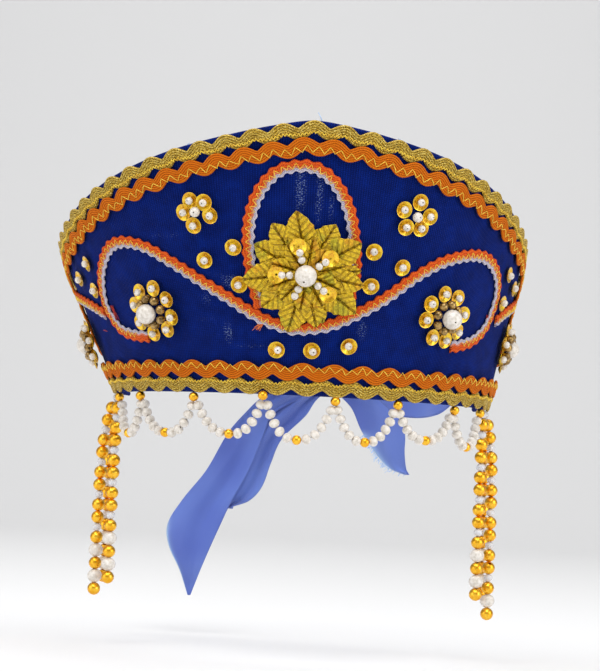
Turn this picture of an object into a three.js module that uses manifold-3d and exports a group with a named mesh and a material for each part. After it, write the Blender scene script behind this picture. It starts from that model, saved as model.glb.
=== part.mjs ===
// Folk headdress with a stiff flared front band, in millimetres.
// +Z is up, the front faces -Y, and the origin is the centre of the rim that the head goes into.
// Turn angles are in degrees from the front, positive towards +X.
import * as THREE from "three";
import { mergeVertices } from "three/addons/utils/BufferGeometryUtils.js";
import Module from "manifold-3d";

const wasm = await Module();
wasm.setup();

// Band
const RIM_RADIUS = 83.2;
const WALL = 3;
const FLARE = 0.32;
const FLARE_LEAN = 0.12;
const CREST_LEAN = 4.1;
const BAND_END = 104;
const CORNER_START = 82;
const CORNER_POWER = 2.6;
const CORNER_CUT = 75;
const CREST = [
  { turn: 0, height: 109.3 },
  { turn: 6, height: 107.9 },
  { turn: 16, height: 104.2 },
  { turn: 29, height: 98.7 },
  { turn: 42, height: 91.8 },
  { turn: 57, height: 82.4 },
  { turn: 69, height: 74.7 },
  { turn: 82, height: 68.4 },
  { turn: 104, height: 59 },
];

// Trims and braid
const GAP = 0.35;
const TRIM_THICK = 0.8;
const WAVE = 12.1;
const ORANGE = { width: 5.5, swing: 1.65 };
const GOLD = { width: 4.4, swing: 1.5 };
const GOLD_INSET = 4;
const ORANGE_INSET = 10.5;
const ORANGE_LOW = 8.9;
const GOLD_LOW = 3.4;
const SIDE_TRIM_FOOT = 15.5;
const BRAID = { width: 5, thick: 1.1, step: 9, aside: -0.4 };

// Sewn ornaments
const SEQUIN_RADIUS = 3.5;
const PEARL_RADIUS = 1.6;
const ROSETTE = { petals: 8, ring: 10, beadRing: 6, pearl: 4.2, heart: 6.3 };
const SIDE_ROSETTE = { petals: 7, ring: 8.15, beadRing: 5, pearl: 3.8, heart: 4.4 };
const BLOSSOM = { petals: 5, ring: 5.4 };
const FLOWER = { turn: -0.3, height: 49.5, pearl: 4.5, thick: 1.2 };

// Bead strings and ribbon
const STRING_RADIUS = 81.7;
const SWAG_DROP = 15.5;
const SWAG_TOP = -2.05;
const SWAG_RADIUS = 1.7;
const BEAD_HOLE = 1;
const RIBBON = { width: 25, thick: 1.2, start: 96, upright: 134 };
const KNOT = { x: 14, y: 80.5, z: 19.5, halfX: 7.5, halfY: 6, halfZ: 9 };

const rad = THREE.MathUtils.degToRad;

// Value of a table's column at a place, by a Catmull-Rom curve through its rows.
function readTable(rows, key, column, place) {
  let i = 0;
  while (i < rows.length - 2 && rows[i + 1][key] < place) i += 1;
  const row = (k) => rows[Math.min(Math.max(k, 0), rows.length - 1)];
  const span = row(i + 1)[key] - row(i)[key];
  const t = (place - row(i)[key]) / span;
  const slope = (k) => {
    const reach = row(k + 1)[key] - row(k - 1)[key];
    return ((row(k + 1)[column] - row(k - 1)[column]) / reach) * span;
  };
  const [a, b] = [row(i)[column], row(i + 1)[column]];
  const blend = 3 * t * t - 2 * t * t * t;
  const bendA = t * (1 - t) * (1 - t) * slope(i);
  const bendB = t * t * (t - 1) * slope(i + 1);
  return a + (b - a) * blend + bendA + bendB;
}

const flareAt = (turn) => FLARE - FLARE_LEAN * Math.sin(rad(turn));
const radiusAt = (turn, height) => RIM_RADIUS + height * flareAt(turn);

// Point of the band's outer face at a turn and height, standing proud of it by some way.
function onBand(turn, height, proud = 0) {
  const r = radiusAt(turn, height) + proud;
  return new THREE.Vector3(r * Math.sin(rad(turn)), -r * Math.cos(rad(turn)), height);
}

const crestAt = (turn) =>
  readTable(CREST, "turn", "height", Math.abs(turn)) + CREST_LEAN * Math.sin(rad(turn));

// Edge of the band from one rim corner over the crest to the other, as turn and height.
// The corners are superellipses, so they are stepped by their own angle.
function bandEdge(cornerSteps, crestSteps) {
  const corner = [];
  for (let i = 0; i <= cornerSteps; i += 1) {
    const a = rad(CORNER_CUT * (1 - i / cornerSteps));
    const turn = CORNER_START + (BAND_END - CORNER_START) * Math.sin(a) ** (2 / CORNER_POWER);
    corner.push({ turn, drop: Math.cos(a) ** (2 / CORNER_POWER) });
  }
  const left = corner.map((c) => ({ turn: -c.turn, height: crestAt(-c.turn) * c.drop }));
  const right = corner.map((c) => ({ turn: c.turn, height: crestAt(c.turn) * c.drop }));
  const top = [];
  for (let i = 1; i < crestSteps; i += 1) {
    const turn = CORNER_START * ((2 * i) / crestSteps - 1);
    top.push({ turn, height: crestAt(turn) });
  }
  return [...left, ...top, ...right.reverse()];
}

// Step from one point of the band to another, in millimetres along and up the cloth.
function clothStep(a, b) {
  const r = radiusAt((a.turn + b.turn) / 2, (a.height + b.height) / 2);
  const slant = Math.hypot(1, flareAt(a.turn));
  return new THREE.Vector2(rad(b.turn - a.turn) * r, (b.height - a.height) * slant);
}

// Point of the band beside another, by a way along and up the cloth.
function besides(p, along, up) {
  const turn = p.turn + THREE.MathUtils.radToDeg(along / radiusAt(p.turn, p.height));
  return { turn, height: p.height + up / Math.hypot(1, flareAt(p.turn)) };
}

// Unit vector square to a route at point i, pointing to the left of its run.
function sideways(route, i) {
  const before = route[Math.max(i - 1, 0)];
  const after = route[Math.min(i + 1, route.length - 1)];
  const run = clothStep(before, after).normalize();
  return new THREE.Vector2(-run.y, run.x);
}

// The same route with its points evenly spaced on the cloth.
function respaced(route, step) {
  const way = [0];
  for (let i = 1; i < route.length; i += 1) {
    way.push(way[i - 1] + clothStep(route[i - 1], route[i]).length());
  }
  const count = Math.max(2, Math.round(way[way.length - 1] / step));
  const spaced = [];
  let k = 0;
  for (let i = 0; i <= count; i += 1) {
    const target = (way[way.length - 1] * i) / count;
    while (k < route.length - 2 && way[k + 1] < target) k += 1;
    const t = (target - way[k]) / (way[k + 1] - way[k]);
    spaced.push({
      turn: THREE.MathUtils.lerp(route[k].turn, route[k + 1].turn, t),
      height: THREE.MathUtils.lerp(route[k].height, route[k + 1].height, t),
    });
  }
  return spaced;
}

// A route moved square to its run, such as a trim's line inside the band's edge.
function movedAside(route, aside) {
  return route.map((p, i) => {
    const side = sideways(route, i).multiplyScalar(aside);
    return besides(p, side.x, side.y);
  });
}

// Smooth route on the cloth through a table of turns and heights.
function smoothRoute(rows, step) {
  const curve = new THREE.SplineCurve(rows.map(({ turn, height }) => new THREE.Vector2(turn, height)));
  const fine = curve.getPoints(rows.length * 8);
  return respaced(fine.map((p) => ({ turn: p.x, height: p.y })), step);
}

// Closed solid through equal rings of points, with a fan over each end.
function loft(rings) {
  const count = rings[0].length;
  const places = rings.flat().flatMap((p) => [p.x, p.y, p.z]);
  const faces = [];
  for (let i = 0; i < rings.length - 1; i += 1) {
    for (let j = 0; j < count; j += 1) {
      const a = i * count + j;
      const b = i * count + ((j + 1) % count);
      faces.push(a, b, b + count, a, b + count, a + count);
    }
  }
  const last = (rings.length - 1) * count;
  for (let j = 1; j < count - 1; j += 1) {
    faces.push(0, j + 1, j);
    faces.push(last, last + j, last + j + 1);
  }
  return outward(places, faces);
}

// Geometry of a closed mesh with its faces turned out, judged by the sign of its volume.
function outward(places, faces) {
  const v = (i) => new THREE.Vector3().fromArray(places, i * 3);
  let volume = 0;
  for (let f = 0; f < faces.length; f += 3) {
    volume += v(faces[f]).dot(v(faces[f + 1]).cross(v(faces[f + 2])));
  }
  if (volume < 0) {
    for (let f = 0; f < faces.length; f += 3) {
      [faces[f], faces[f + 1]] = [faces[f + 1], faces[f]];
    }
  }
  const geometry = new THREE.BufferGeometry();
  geometry.setAttribute("position", new THREE.Float32BufferAttribute(places, 3));
  geometry.setIndex(faces);
  return geometry;
}

// One body made of several closed geometries that run into each other.
function fused(geometries) {
  const solids = geometries.map((g) => {
    const bare = g.clone();
    bare.deleteAttribute("normal");
    bare.deleteAttribute("uv");
    const merged = mergeVertices(bare, 1e-3);
    return new wasm.Manifold(
      new wasm.Mesh({
        numProp: 3,
        vertProperties: new Float32Array(merged.attributes.position.array),
        triVerts: new Uint32Array(merged.index.array),
      }),
    );
  });
  const whole = solids.reduce((all, next) => all.add(next)).getMesh();
  const geometry = new THREE.BufferGeometry();
  geometry.setAttribute("position", new THREE.BufferAttribute(whole.vertProperties, 3));
  geometry.setIndex(Array.from(whole.triVerts));
  return geometry;
}

const material = (color, roughness, metalness) =>
  new THREE.MeshStandardMaterial({ color, roughness, metalness });
const blueCloth = material(0x0b1f7a, 0.9, 0);
const orangeTrim = material(0xd67a18, 0.8, 0);
const goldTrim = material(0xae9132, 0.6, 0.3);
const redWhiteBraid = material(0xe0602a, 0.8, 0);
const goldLeaf = material(0xb89c22, 0.45, 0.6);
const pearlWhite = material(0xebe6e1, 0.25, 0);
const goldMetal = material(0xeba016, 0.2, 0.9);
const sequinGold = material(0xd8ae25, 0.25, 0.8);
const ribbonSatin = material(0x5a73cd, 0.4, 0);

const headdress = new THREE.Group();

function piece(name, geometry, finish) {
  const mesh = new THREE.Mesh(geometry, finish);
  mesh.name = name;
  headdress.add(mesh);
  return mesh;
}

// Band of stiffened cloth: one straight line up each wall, lofted round the head.
function bandSolid() {
  const inner = (turn, height) => onBand(turn, height, -WALL);
  const rings = bandEdge(7, 34).map(({ turn, height }) => [
    inner(turn, 0),
    onBand(turn, 0),
    onBand(turn, height),
    inner(turn, height),
  ]);
  return loft(rings);
}
piece("crown_band", bandSolid(), blueCloth);

// Flat tape laid on the cloth along a route, with a zigzag swing from side to side.
function tape(route, { width, thick = TRIM_THICK, swing = 0 }, proud = GAP) {
  const rings = route.map((p, i) => {
    const side = sideways(route, i);
    const shift = i % 2 ? swing : -swing;
    const edge = (way) => besides(p, side.x * (way + shift), side.y * (way + shift));
    const left = edge(width / 2);
    const right = edge(-width / 2);
    return [
      onBand(left.turn, left.height, proud),
      onBand(right.turn, right.height, proud),
      onBand(right.turn, right.height, proud + thick),
      onBand(left.turn, left.height, proud + thick),
    ];
  });
  return loft(rings);
}

// Wavy trims along the crest and down the side edges, the orange lapping over the gold.
const edgeRoute = bandEdge(14, 90);
const LAP = GAP * 2 + TRIM_THICK;
function crestTrim(inset) {
  const line = movedAside(edgeRoute, -inset).filter((p) => p.height > SIDE_TRIM_FOOT);
  return respaced(line, WAVE / 2);
}
piece("crest_trim_gold", tape(crestTrim(GOLD_INSET), GOLD), goldTrim);
piece("crest_trim_orange", tape(crestTrim(ORANGE_INSET), ORANGE, LAP), orangeTrim);

// Wavy trims along the rim.
function rimTrim(height) {
  const end = BAND_END - 3;
  return respaced(
    Array.from({ length: 60 }, (_, i) => ({ turn: end * ((2 * i) / 59 - 1), height })),
    WAVE / 2,
  );
}
piece("rim_trim_gold", tape(rimTrim(GOLD_LOW), GOLD), goldTrim);
piece("rim_trim_orange", tape(rimTrim(ORANGE_LOW), ORANGE, LAP), orangeTrim);

// Narrow braid sewn down in a scroll, a centre loop and two side branches.
const SCROLL = [
  { turn: -45.6, height: 22.1 },
  { turn: -50.6, height: 22.8 },
  { turn: -56.5, height: 26 },
  { turn: -60.1, height: 35.9 },
  { turn: -57.7, height: 48.2 },
  { turn: -51.8, height: 58.3 },
  { turn: -46.3, height: 61.3 },
  { turn: -39.7, height: 59.2 },
  { turn: -32.5, height: 52.6 },
  { turn: -25.9, height: 45.6 },
  { turn: -18.7, height: 38.4 },
  { turn: -11.8, height: 31.6 },
  { turn: -4.7, height: 27.6 },
  { turn: 0, height: 27.4 },
  { turn: 6.5, height: 29.5 },
  { turn: 13.7, height: 35.2 },
  { turn: 20.1, height: 41.9 },
  { turn: 27.7, height: 51.8 },
  { turn: 35.6, height: 59.2 },
  { turn: 45, height: 63.2 },
  { turn: 52.7, height: 61.9 },
  { turn: 58.7, height: 55.5 },
  { turn: 60.8, height: 46.5 },
  { turn: 58.7, height: 34.8 },
  { turn: 53.4, height: 27.8 },
  { turn: 47.3, height: 24.7 },
  { turn: 43.6, height: 23.8 },
];
const LOOP = [
  { turn: -11.9, height: 36.9 },
  { turn: -13, height: 45.5 },
  { turn: -13.8, height: 57.7 },
  { turn: -13.2, height: 70 },
  { turn: -10.8, height: 81.3 },
  { turn: -7, height: 89 },
  { turn: -2.2, height: 91.6 },
  { turn: 1.9, height: 90.2 },
  { turn: 5.6, height: 84.6 },
  { turn: 8.8, height: 75 },
  { turn: 10.7, height: 62.7 },
  { turn: 11.5, height: 52.5 },
  { turn: 11.2, height: 43.5 },
  { turn: 10.4, height: 37.1 },
];
const SIDE_BRANCH_LEFT = [
  { turn: -63.6, height: 34.2 },
  { turn: -69.4, height: 37.2 },
  { turn: -79, height: 40.8 },
  { turn: -88.6, height: 43 },
];
const SIDE_BRANCH_RIGHT = [
  { turn: 64.3, height: 38.3 },
  { turn: 70, height: 42.2 },
  { turn: 79, height: 45.9 },
  { turn: 93.5, height: 49 },
];
const braidOn = (rows) => tape(movedAside(smoothRoute(rows, BRAID.step), BRAID.aside), BRAID);
piece("scroll_braid", braidOn(SCROLL), redWhiteBraid);
piece("loop_braid", braidOn(LOOP), redWhiteBraid);
piece("side_braid_left", braidOn(SIDE_BRANCH_LEFT), redWhiteBraid);
piece("side_braid_right", braidOn(SIDE_BRANCH_RIGHT), redWhiteBraid);

// Turns an ornament's own +Z out of the cloth and sets it there with a small gap.
// A tip leans its top towards the cloth, for one whose foot lies on a trim.
const ON_TRIM_TIP = rad(-6.5);
function sewnAt(mesh, turn, height, proud = GAP, tip = 0) {
  const out = Math.atan(flareAt(turn)) + tip;
  mesh.rotation.set(Math.PI / 2 + out, 0, 0);
  const turned = new THREE.Group();
  turned.rotation.z = rad(turn);
  mesh.removeFromParent();
  turned.add(mesh);
  headdress.add(turned);
  const r = radiusAt(turn, height);
  mesh.position.set(0, -r, height);
  mesh.translateZ(proud);
  return mesh;
}

// Lathe about +Z from a profile of radius and height pairs that starts and ends on the axis.
function turnedShape(profile, sides) {
  const shape = new THREE.LatheGeometry(profile.map(([r, z]) => new THREE.Vector2(r, z)), sides);
  return shape.rotateX(Math.PI / 2);
}

// Round bead or pearl as a turned ball.
function ball(radius, sides = 10, bands = 6) {
  const arc = Array.from({ length: bands + 1 }, (_, i) => {
    const a = Math.PI * (i / bands - 0.5);
    return [i % bands ? radius * Math.cos(a) : 0, radius * Math.sin(a)];
  });
  return turnedShape(arc, sides);
}

// Cup sequin, with the pearl that holds it down where there is one.
const SEQUIN_RIM = 1;
const SEQUIN_SKIN = 0.5;
function sequin(sides, withPearl) {
  const dish = [[0, 0], [SEQUIN_RADIUS, SEQUIN_RIM], [SEQUIN_RADIUS - 0.1, SEQUIN_RIM + SEQUIN_SKIN]];
  const pearl = [
    [1, SEQUIN_SKIN + 0.2],
    [PEARL_RADIUS, SEQUIN_SKIN + PEARL_RADIUS],
    [0, SEQUIN_SKIN + 2 * PEARL_RADIUS],
  ];
  return turnedShape([...dish, ...(withPearl ? pearl : [[0, SEQUIN_SKIN]])], sides);
}

const STUDS = [
  { name: "stud_upper_left", turn: -16.9, height: 58.9 },
  { name: "stud_outer_left", turn: -23.9, height: 53.6 },
  { name: "stud_lower_left", turn: -16, height: 44.1 },
  { name: "stud_upper_right", turn: 15.3, height: 59.7 },
  { name: "stud_outer_right", turn: 23, height: 54.6 },
  { name: "stud_lower_right", turn: 15.6, height: 46.1 },
  { name: "stud_rim_left", turn: -7.1, height: 18.5 },
  { name: "stud_rim_middle", turn: 2.1, height: 18.8 },
  { name: "stud_rim_right", turn: 11.7, height: 21.3 },
  { name: "stud_side_left_top", turn: -61.8, height: 54 },
  { name: "stud_side_left_middle", turn: -69.6, height: 48.6 },
  { name: "stud_side_left_low", turn: -62.4, height: 42.9 },
  { name: "stud_side_right_top", turn: 64.5, height: 58.2 },
  { name: "stud_side_right_middle", turn: 71.7, height: 53.4 },
  { name: "stud_side_right_low", turn: 64.5, height: 45.8 },
];
for (const { name, turn, height } of STUDS) {
  sewnAt(piece(name, sequin(7, true), sequinGold), turn, height);
}

// Parts set round a centre, each leaning on the next.
function ringOf(count, radius, make, lift = 0) {
  return Array.from({ length: count }, (_, i) => {
    const a = (2 * Math.PI * i) / count;
    return make().translate(radius * Math.cos(a), radius * Math.sin(a), lift);
  });
}

// Small blossom of five sequins about one pearl, whose profile is radius and height.
const BLOSSOM_HUB = [[0, 0.1], [2.6, 0.7], [1.9, 2.6], [0, 3.6]];
const blossom = () =>
  fused([
    ...ringOf(BLOSSOM.petals, BLOSSOM.ring, () => sequin(8, false)),
    turnedShape(BLOSSOM_HUB, 8),
  ]);
sewnAt(piece("blossom_left", blossom(), sequinGold), -24.4, 72.9);
sewnAt(piece("blossom_right", blossom(), sequinGold), 24.3, 75.4);

// Rosette: a ring of sequins, a ring of dark beads on its inner edge and a large pearl raised on them.
function rosette({ petals, ring, beadRing, pearl, heart }) {
  const beadRow = [
    [0, 0.1],
    [beadRing + 1.6, 1.6],
    [beadRing, 3.6],
    [pearl * 0.8, heart - pearl * 0.3],
    [pearl, heart],
    [pearl * 0.7, heart + pearl * 0.7],
    [0, heart + pearl],
  ];
  return fused([...ringOf(petals, ring, () => sequin(8, false)), turnedShape(beadRow, 12)]);
}
sewnAt(piece("rosette_left", rosette(ROSETTE), pearlWhite), -40.1, 33.5);
sewnAt(piece("rosette_right", rosette(ROSETTE), pearlWhite), 38.3, 36.4);
sewnAt(piece("side_rosette_left", rosette(SIDE_ROSETTE), pearlWhite), -79.8, 22, 1.7, ON_TRIM_TIP);
sewnAt(piece("side_rosette_right", rosette(SIDE_ROSETTE), pearlWhite), 79.3, 28);

// Leaf flower: one stiff star of pointed leaves, low at its middle and lifted over the braid.
const LEAVES = [
  { angle: 100, length: 26.4 },
  { angle: 63, length: 23.5 },
  { angle: 33, length: 26 },
  { angle: 0, length: 23.5 },
  { angle: -36, length: 26.2 },
  { angle: -74, length: 22.5 },
  { angle: -104, length: 25.6 },
  { angle: -142, length: 22.5 },
  { angle: -173, length: 25.6 },
  { angle: -207, length: 24.3 },
  { angle: -234, length: 25.1 },
];
const LEAF_NOTCH = 15;
const LEAF_LIFT = 2.3;
const LEAF_RIDGE = 0.8;
function leafFlower() {
  const outline = LEAVES.flatMap(({ angle, length }, i) => {
    const next = i + 1 < LEAVES.length ? LEAVES[i + 1].angle : LEAVES[0].angle - 360;
    const gap = (next - angle) / 2;
    return [
      { angle, reach: length, ridge: LEAF_RIDGE },
      { angle: angle + gap * 0.55, reach: (length + LEAF_NOTCH) / 2 - 1, ridge: 0.2 },
      { angle: angle + gap, reach: LEAF_NOTCH, ridge: -0.1 },
      { angle: angle + gap * 1.45, reach: (length + LEAF_NOTCH) / 2 - 1, ridge: 0.2 },
    ];
  });
  const spot = ({ angle, reach }, share, z) =>
    new THREE.Vector3(Math.cos(rad(angle)), Math.sin(rad(angle)), 0)
      .multiplyScalar(reach * share)
      .setZ(z);
  const ring = (share, height) => outline.map((o) => spot(o, share, height(o)));
  const tip = LEAF_LIFT;
  return loft([
    ring(0.02, () => 0),
    ring(1, () => tip),
    ring(1, () => tip + FLOWER.thick * 0.5),
    ring(0.55, (o) => 1.2 + FLOWER.thick + o.ridge),
    ring(0.02, () => FLOWER.thick),
  ]);
}
sewnAt(piece("leaf_flower", leafFlower(), goldLeaf), FLOWER.turn, FLOWER.height);
const flowerTop = GAP * 2 + FLOWER.thick;
sewnAt(
  piece("flower_pearl", ball(FLOWER.pearl), pearlWhite),
  FLOWER.turn,
  FLOWER.height,
  flowerTop + FLOWER.pearl,
);

// Ring of points about a centre line point, square to its run.
function beadRing(centre, run, radius, sides) {
  const first = new THREE.Vector3(0, 1, 0).cross(run);
  if (first.length() < 0.3) first.set(1, 0, 0).cross(run);
  first.normalize();
  const second = new THREE.Vector3().crossVectors(run, first);
  return Array.from({ length: sides }, (_, i) => {
    const a = (2 * Math.PI * i) / sides;
    return centre
      .clone()
      .addScaledVector(first, radius * Math.cos(a))
      .addScaledVector(second, radius * Math.sin(a));
  });
}

// String of beads down a centre line: a narrow ring at each hole and a wide one at each middle.
function beadString(lengths, radii, centreAt, run, sides = 10) {
  let way = 0;
  const rings = [beadRing(centreAt(way), run, BEAD_HOLE, sides)];
  lengths.forEach((length, i) => {
    rings.push(beadRing(centreAt(way + length / 2), run, radii[i], sides));
    way += length;
    rings.push(beadRing(centreAt(way), run, BEAD_HOLE, sides));
  });
  return loft(rings);
}

// Five sprays round the big pearl, each two small pearls in a row, four with a sequin behind.
const SPRAYS = [
  { name: "spray_top", angle: 107, sequined: true },
  { name: "spray_right", angle: 37, sequined: true },
  { name: "spray_low_right", angle: -39, sequined: true },
  { name: "spray_low_left", angle: -115, sequined: false },
  { name: "spray_left", angle: -178, sequined: true },
];
const SPRAY_START = 5;
const SPRAY_LIFT = 3.2;
const SPRAY_PEARL = 3;
for (const { name, angle, sequined } of SPRAYS) {
  const along = new THREE.Vector3(1, 0, 0);
  const centreAt = (way) => new THREE.Vector3(SPRAY_START + way, 0, PEARL_RADIUS);
  const sizes = [SPRAY_PEARL, SPRAY_PEARL];
  const pearls = beadString(sizes, [PEARL_RADIUS, PEARL_RADIUS], centreAt, along);
  const cup = sequin(8, false).translate(SPRAY_START + 7, 0, 0.3);
  const spray = sequined ? fused([pearls, cup]) : pearls;
  sewnAt(piece(name, spray.rotateZ(rad(angle)), pearlWhite), FLOWER.turn, FLOWER.height, SPRAY_LIFT);
}

// Pearl swags under the rim: one string that hangs in a curve from each gold bead to the next.
const SWAG_TURNS = [-75.3, -56.6, -33, -10.8, 9.8, 29.2, 52.4, 71.5];
const SWAG_STEPS = 6;
const SWAG_POWER = 2.6;
const underRim = (turn, z) =>
  new THREE.Vector3(
    STRING_RADIUS * Math.sin(rad(turn)),
    -STRING_RADIUS * Math.cos(rad(turn)),
    z,
  );
function swagPoint(from, to, i) {
  const spread = Math.sin((Math.PI / 2) * ((2 * i) / SWAG_STEPS - 1));
  const turn = THREE.MathUtils.lerp(from, to, (spread + 1) / 2);
  return underRim(turn, SWAG_TOP - SWAG_DROP * (1 - Math.abs(spread) ** SWAG_POWER));
}
function swagString() {
  const line = SWAG_TURNS.slice(1).flatMap((to, k) =>
    Array.from({ length: SWAG_STEPS }, (_, i) => swagPoint(SWAG_TURNS[k], to, i)),
  );
  const last = SWAG_TURNS.length - 1;
  line.push(swagPoint(SWAG_TURNS[last - 1], SWAG_TURNS[last], SWAG_STEPS));
  const rings = line.map((p, i) => {
    const before = line[Math.max(i - 1, 0)];
    const run = line[Math.min(i + 1, line.length - 1)].clone().sub(before).normalize();
    return beadRing(p, run, SWAG_RADIUS, 8);
  });
  return loft(rings);
}
piece("swag_string", swagString(), pearlWhite);

// Strands of beads at each temple: small white, gold and large pearl beads from the rim down.
// The back strand of each bunch, which the others hide, is one plain cord of their width.
const BEADS = {
  w: { radius: 2, length: 3.4 },
  G: { radius: 2.9, length: 5.55 },
  P: { radius: 3.3, length: 5.9 },
};
const STRANDS = [
  { name: "strand_left_front", turn: -82.8, footX: -82.3, footY: -9, beads: "wGwGGwGGwGGwGPGPG" },
  { name: "strand_left_outer", turn: -87.3, footX: -88.6, footY: -4, beads: "wGGwGGwGGwGGwGPGPG" },
  { name: "strand_left_back", turn: -91.8, footX: -85.5, footY: 4, beads: "" },
  { name: "strand_right_front", turn: 82.8, footX: 81.2, footY: -9, beads: "wGwGGwGGwGGwGPGPG" },
  { name: "strand_right_outer", turn: 87.3, footX: 88, footY: -4, beads: "wGGwGGwGGwGGwGGwGPG" },
  { name: "strand_right_back", turn: 91.8, footX: 84.4, footY: 4, beads: "" },
];
const STRAND_SPREAD = 18;
const BACK_STRAND = { radius: 2.4, length: 84, steps: 6 };
function strand({ turn, footX, footY, beads }) {
  const top = underRim(turn, -GAP);
  const centreAt = (way) => {
    const t = 1 - Math.exp(-way / STRAND_SPREAD);
    return new THREE.Vector3(
      THREE.MathUtils.lerp(top.x, footX, t),
      THREE.MathUtils.lerp(top.y, footY, t),
      -GAP - way,
    );
  };
  const down = new THREE.Vector3(0, 0, -1);
  if (!beads) {
    const { radius, length, steps } = BACK_STRAND;
    const way = (i) => length * (i / steps) ** 2;
    return loft(
      Array.from({ length: steps + 1 }, (_, i) => beadRing(centreAt(way(i)), down, radius, 10)),
    );
  }
  const lengths = [...beads].map((kind) => BEADS[kind].length);
  const radii = [...beads].map((kind) => BEADS[kind].radius);
  return beadString(lengths, radii, centreAt, down);
}
for (const row of STRANDS) piece(row.name, strand(row), goldMetal);

// Ribbon ties: from inside each end of the band round the back to the knot, upright behind.
// The left one runs level and the right one sags under the rim's line on its way.
const TIE_LEFT = [
  { turn: 96, foot: 9 },
  { turn: 150, foot: 10 },
  { turn: 190, foot: 9 },
];
const TIE_RIGHT = [
  { turn: 96, foot: 9 },
  { turn: 112, foot: 7 },
  { turn: 125, foot: -1.5 },
  { turn: 146, foot: -2 },
  { turn: 165, foot: 7 },
];
function ribbonTie(rows, from, to) {
  const steps = 12;
  const rings = Array.from({ length: steps + 1 }, (_, i) => {
    const turn = THREE.MathUtils.lerp(from, to, i / steps);
    const past = THREE.MathUtils.smoothstep(Math.abs(turn), BAND_END, RIBBON.upright);
    const lean = flareAt(turn) * (1 - past);
    const foot = readTable(rows, "turn", "foot", Math.abs(turn));
    const outer = RIM_RADIUS - WALL - GAP;
    const at = (z, inward) => {
      const r = outer + z * lean - inward;
      return new THREE.Vector3(r * Math.sin(rad(turn)), -r * Math.cos(rad(turn)), z);
    };
    const high = foot + RIBBON.width;
    return [
      at(foot, RIBBON.thick),
      at(foot, 0),
      at(high, 0),
      at(high, RIBBON.thick),
    ];
  });
  return loft(rings);
}
const knotTurn = 180 - THREE.MathUtils.radToDeg(Math.atan2(KNOT.x, RIM_RADIUS - WALL));
const knotReach = THREE.MathUtils.radToDeg((KNOT.halfX + 0.5) / (RIM_RADIUS - WALL));
piece("ribbon_tie_left", ribbonTie(TIE_LEFT, -RIBBON.start, knotTurn + knotReach - 360), ribbonSatin);
piece("ribbon_tie_right", ribbonTie(TIE_RIGHT, RIBBON.start, knotTurn - knotReach), ribbonSatin);

// Knot: a rounded lump, fullest at its middle.
function knotShape() {
  const levels = [-1, -0.6, 0, 0.6, 1];
  const rings = levels.map((level) => {
    const full = Math.sqrt(1 - 0.75 * level * level);
    return Array.from({ length: 12 }, (_, i) => {
      const a = (2 * Math.PI * i) / 12;
      return new THREE.Vector3(
        KNOT.x + KNOT.halfX * full * Math.cos(a),
        KNOT.y + KNOT.halfY * full * Math.sin(a),
        KNOT.z + KNOT.halfZ * level,
      );
    });
  });
  return loft(rings);
}
piece("ribbon_knot", knotShape(), ribbonSatin);

// Hanging ribbon ends and the bow loop: left and right edge at each height, and depth.
const TAIL_LONG = [
  { z: 10.1, left: -9, right: 12.5, y: 81.2 },
  { z: 4.5, left: -19, right: -1, y: 82.8 },
  { z: -3.5, left: -27, right: -13.5, y: 84.5 },
  { z: -13.5, left: -35, right: -17.5, y: 87 },
  { z: -32.5, left: -45, right: -24.5, y: 88 },
  { z: -47.5, left: -56, right: -32, y: 88 },
  { z: -59.5, left: -62.5, right: -37, y: 88 },
  { z: -69.5, left: -61.5, right: -41, y: 88 },
  { z: -81.5, left: -55.5, right: -45.5, y: 88 },
  { z: -93.5, left: -51, right: -49.6, y: 88 },
];
const BOW_LOOP = [
  { z: 10.1, left: 3, right: 14, y: 82.8 },
  { z: 4.5, left: -7, right: 7.5, y: 85.5 },
  { z: -3.5, left: -17, right: 2.5, y: 87.5 },
  { z: -15.5, left: -25, right: -8.7, y: 90.5 },
  { z: -27.5, left: -29, right: -13.5, y: 92 },
  { z: -39.5, left: -33.5, right: -17.5, y: 92 },
  { z: -46.5, left: -36.5, right: -23.5, y: 91.5 },
  { z: -49.5, left: -37.5, right: -31, y: 91 },
];
const TAIL_SHORT = [
  { z: 10.1, left: 14, right: 33, y: 79.4 },
  { z: 4.5, left: 21.3, right: 43, y: 81.3 },
  { z: 0.5, left: 25, right: 46, y: 82.5 },
  { z: -9.5, left: 30, right: 51.3, y: 86 },
  { z: -19.5, left: 37, right: 51.8, y: 88 },
  { z: -27.5, left: 45, right: 53, y: 88 },
  { z: -30, left: 52, right: 54.5, y: 88 },
];
const LOOP_THICK = 2.6;
function hangingCloth(rows, thick) {
  return loft(
    rows.map(({ z, left, right, y }) => [
      new THREE.Vector3(left, y, z),
      new THREE.Vector3(right, y, z),
      new THREE.Vector3(right, y + thick, z),
      new THREE.Vector3(left, y + thick, z),
    ]),
  );
}
piece("ribbon_tail_long", hangingCloth(TAIL_LONG, RIBBON.thick), ribbonSatin);
piece("ribbon_bow_loop", hangingCloth(BOW_LOOP, LOOP_THICK), ribbonSatin);
piece("ribbon_tail_short", hangingCloth(TAIL_SHORT, RIBBON.thick), ribbonSatin);

export default headdress;
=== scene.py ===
"""A kokoshnik headdress with its cloth, trims, beadwork and ribbons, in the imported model's frame.

Lengths are in millimetres until a mesh is made, which is in metres. +Z is up and the front faces -Y.
A turn is an angle in degrees from the front, positive towards +X.
"""

import math
from collections import namedtuple

import bpy
import numpy as np
from mathutils import Matrix


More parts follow.
